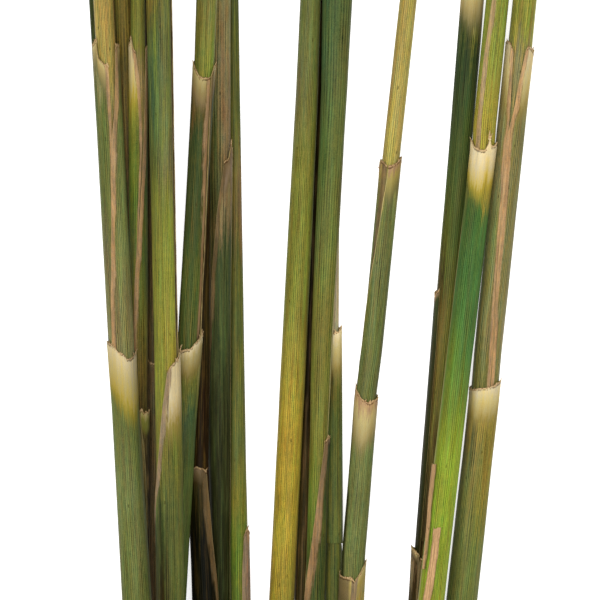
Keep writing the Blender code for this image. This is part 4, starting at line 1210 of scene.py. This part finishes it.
def sheath_skin(name, sheath):
    """The skin of a leaf sheath: a pale zone below its torn mouth, papery margins, veins like the stem's."""
    radius = sheath["rows"][0][1]
    board, base, parts = skin_board(name, sheath, radius)
    fine = parts["fine"]
    grain = parts["grain"]
    fleck = parts["fleck"]
    below = board.attribute("below")

    share, end, lean = sheath["zone"]
    swing = board.math("COSINE", parts["turn"] * (2 * math.pi) - math.radians(lean))
    depth = below * (1 / end) * (1.12 - swing * 0.22)
    depth = depth + (fine - 0.5) * 0.45 + (parts["broad"] - 0.5) * 0.25 + (fleck - 0.5) * 0.3
    pale = [(place, paint(tone, level)) for place, (tone, level) in zip((0.05, share, 0.9), sheath["pale"])]
    zone = board.ramp(depth, pale)
    warm = (fleck - 0.5) * 0.5 + (parts["broad"] - 0.5) * 0.5
    zone = board.tint(zone, 1.0 + warm * 0.25, 1.0, 1.0 - warm * 0.6)
    # The pale zone is dimmed towards the sides as seen from above: painted shade of the rounding sheath, with
    # random patches.
    sides = board.math("ABSOLUTE", board.math("SINE", parts["turn"] * (2 * math.pi)))
    edges = 1.0 - parts["patch"] * 0.12 - sides * 0.10
    zone = board.dim(zone, edges + 0.10 + (fine - 0.5) * 0.45 + (fleck - 0.5) * 0.30 + (grain - 0.5) * 0.25)
    base = board.mix(1.0 - board.ease(depth, 0.70, 1.25), base, zone)
    base = hairlines(board, parts, base, sheath, radius)

    margins = sheath["margins"]
    base, first_band = papery_margin(board, parts, board.attribute("first_margin"), base, *margins[0])
    base, last_band = papery_margin(board, parts, board.attribute("last_margin"), base, *margins[-1])

    torn = below + (grain - 0.5) * 0.7 + (fine - 0.5) * 0.6
    rim = 1.0 - board.ease(torn, 0.35, 0.65)
    speckle = board.ease(grain + (fleck - 0.5) * 0.8, 0.36, 0.52)
    level = sheath["pale"][0][1]
    rim_tone = board.mix(speckle, paint("rim_brown", level), paint("peach", level * 0.95))
    base = board.mix(rim * 0.85, base, rim_tone)
    # A patchy maroon band just below the torn edge: browning, and painted shadow under the lip of the rim.
    rim_browning_and_shadow = board.stripe(torn, 0.80, 0.22, 0.25)
    rim_browning_and_shadow = rim_browning_and_shadow * board.ease(parts["patch"] + (fleck - 0.5) * 0.8, 0.42, 0.56)
    base = board.mix(rim_browning_and_shadow * 0.75, base, paint("maroon", level * 0.8))

    roughness = 0.50 + (fine - 0.5) * 0.16 + (first_band + last_band) * 0.1 + rim * 0.2
    height = parts["veins"] * 0.5 + fine * 1.2 + fleck * 0.5 + grain * (0.3 + rim * 2.0)
    return board.finish(base, roughness, height, SKIN_RELIEF)


def plain_skin(name, light, dark, roughness):
    """Dry inner tissue: fine fibres between a light and a dark tone."""
    board = Board(name)
    place = board.add("ShaderNodeTexCoord", {}, {}, "Object")
    inputs = {0: place, 1: (1800.0, 120.0, 1800.0)}
    stretched = board.add("ShaderNodeVectorMath", {"operation": "MULTIPLY"}, inputs)
    fibres = board.noise(stretched, 1.0, 3.0, "3D")
    cloud = board.noise(place, 300.0, 2.0, "3D")
    colour = board.mix(board.ease(fibres + (cloud - 0.5) * 0.6, 0.3, 0.7), paint(light), paint(dark))
    return board.finish(colour, roughness + (fibres - 0.5) * 0.1, fibres, DRY_RELIEF)


shared = {}


def make_shared_materials():
    shared["pith"] = plain_skin("pith", "cream", "straw", 0.75)
    shared["cut"] = plain_skin("cut_end", "cream", "buff", 0.8)
    shared["inner_skin"] = plain_skin("inner_skin", "straw", "amber", 0.6)
    shared["torn_edge"] = plain_skin("torn_edge", "buff", "bark", 0.8)


def strip_skin(name, radius):
    """A torn strip of dead sheath: bleached along its middle, brown at its edges."""
    board = Board("skin_of_" + name)
    _, around, along = place_on_skin(board, radius)
    fine = board.grain_of(around, along, 2.6, 0.08, 0.0, 2.0)
    grain = board.grain_of(around, along, 3.0, 0.9, 4.0, 2.0)
    colour = board.mix(board.ease(fine, 0.35, 0.65), paint("pink_tan", 1.05), paint("pink_tan", 1.45))
    edge = 1.0 - board.ease(board.attribute("margin") + (grain - 0.5) * 0.4, 0.10, 0.40)
    colour = board.mix(edge * 0.3, colour, paint("bark", 1.0))
    colour = board.dim(colour, 1.0 + (grain - 0.5) * 0.6 + (fine - 0.5) * 0.4)
    return board.finish(colour, 0.7 + (fine - 0.5) * 0.2, fine + grain * 0.4, DRY_RELIEF)


def make_strip(name, rows):
    """A narrow torn strip that lies against its stem."""
    stem = STEMS[STRIPPED_STEM]
    top = rows[0][0]
    foot = rows[-1][0]
    levels = spaced(top, foot, [0, 0.3, 0.7, 1.2], STRIP_ROW_STEP)
    piece, across, down = sheet_of("reed_" + name, 8, len(levels) - 1)
    drop = levels[np.rint(down * (len(levels) - 1)).astype(int)]
    seed = seed_of(name)
    y = top + (foot - top) * drop + 0.5 * ripple(seed, across * 5, 1.0) * np.exp(-drop * 20)
    first = eased_at(rows, y, 2) + 1.6 * ripple(seed + 1, y, 2.5)
    last = eased_at(rows, y, 3) + 1.6 * ripple(seed + 2, y, 2.5)
    turn = first + across * (last - first)
    radius = rows[0][1] + 0.12 * ripple(seed + 3, y, 6) + 0.5 * np.abs(across - 0.5) ** 2
    roll(piece, stem["path"], radius, turn, y)
    keep_number(piece, "margin", 2 * np.minimum(across, 1 - across))
    keep_place_on_skin(piece, turn, y)
    thicken(piece, STRIP_WALL, [strip_skin(name, rows[0][1]), shared["inner_skin"], shared["torn_edge"]])
    finish_piece(piece, name)


def make_floor():
    deselect_all()
    bpy.ops.mesh.primitive_plane_add(size=FLOOR_SIZE)
    floor = bpy.context.object
    floor.name = "floor"
    board = Board("pale_paper")
    board.shader.inputs["Base Color"].default_value = (FLOOR_WHITE, FLOOR_WHITE, FLOOR_WHITE, 1.0)
    board.shader.inputs["Emission Color"].default_value = (1.0, 1.0, 1.0, 1.0)
    board.shader.inputs["Emission Strength"].default_value = FLOOR_GLOW
    board.shader.inputs["Roughness"].default_value = 0.9
    board.shader.inputs["Specular IOR Level"].default_value = 0.1
    floor.data.materials.append(board.material)


def make_lights():
    world = bpy.data.worlds.new("white_room")
    world.use_nodes = True
    sky = world.node_tree.nodes["Background"]
    sky.inputs["Color"].default_value = (1.0, 1.0, 1.0, 1.0)
    sky.inputs["Strength"].default_value = SKY
    bpy.context.scene.world = world
    light = bpy.data.lights.new("overhead_softbox", "AREA")
    light.shape = "SQUARE"
    light.size = SOFTBOX_SIZE
    light.energy = SOFTBOX_POWER
    lamp = bpy.data.objects.new("overhead_softbox", light)
    lamp.location = SOFTBOX_PLACE
    aim = -lamp.location
    lamp.rotation_euler = aim.to_track_quat("-Z", "Y").to_euler()
    bpy.context.scene.collection.objects.link(lamp)


def make_camera():
    """Straight above the bunch, tips towards the top of the frame, which is 200 mm across at the floor."""
    lens = bpy.data.cameras.new("from_above")
    lens.sensor_width = 36.0
    lens.lens = CAMERA_LENS
    lens.clip_end = 50.0
    camera = bpy.data.objects.new("from_above", lens)
    camera.location = (CENTRING[0] * MM, CENTRING[1] * MM, CAMERA_HEIGHT)
    bpy.context.scene.collection.objects.link(camera)
    bpy.context.scene.camera = camera


def main():
    make_camera()
    make_shared_materials()
    for name, stem in STEMS.items():
        make_culm(name, stem)
    for name, sheath in SHEATHS.items():
        make_sheath(name, sheath)
    for name, rows in TORN_STRIPS.items():
        make_strip(name, rows)
    make_floor()
    make_lights()
    view = bpy.context.scene.view_settings
    view.view_transform = "Standard"
    view.look = "None"


main()
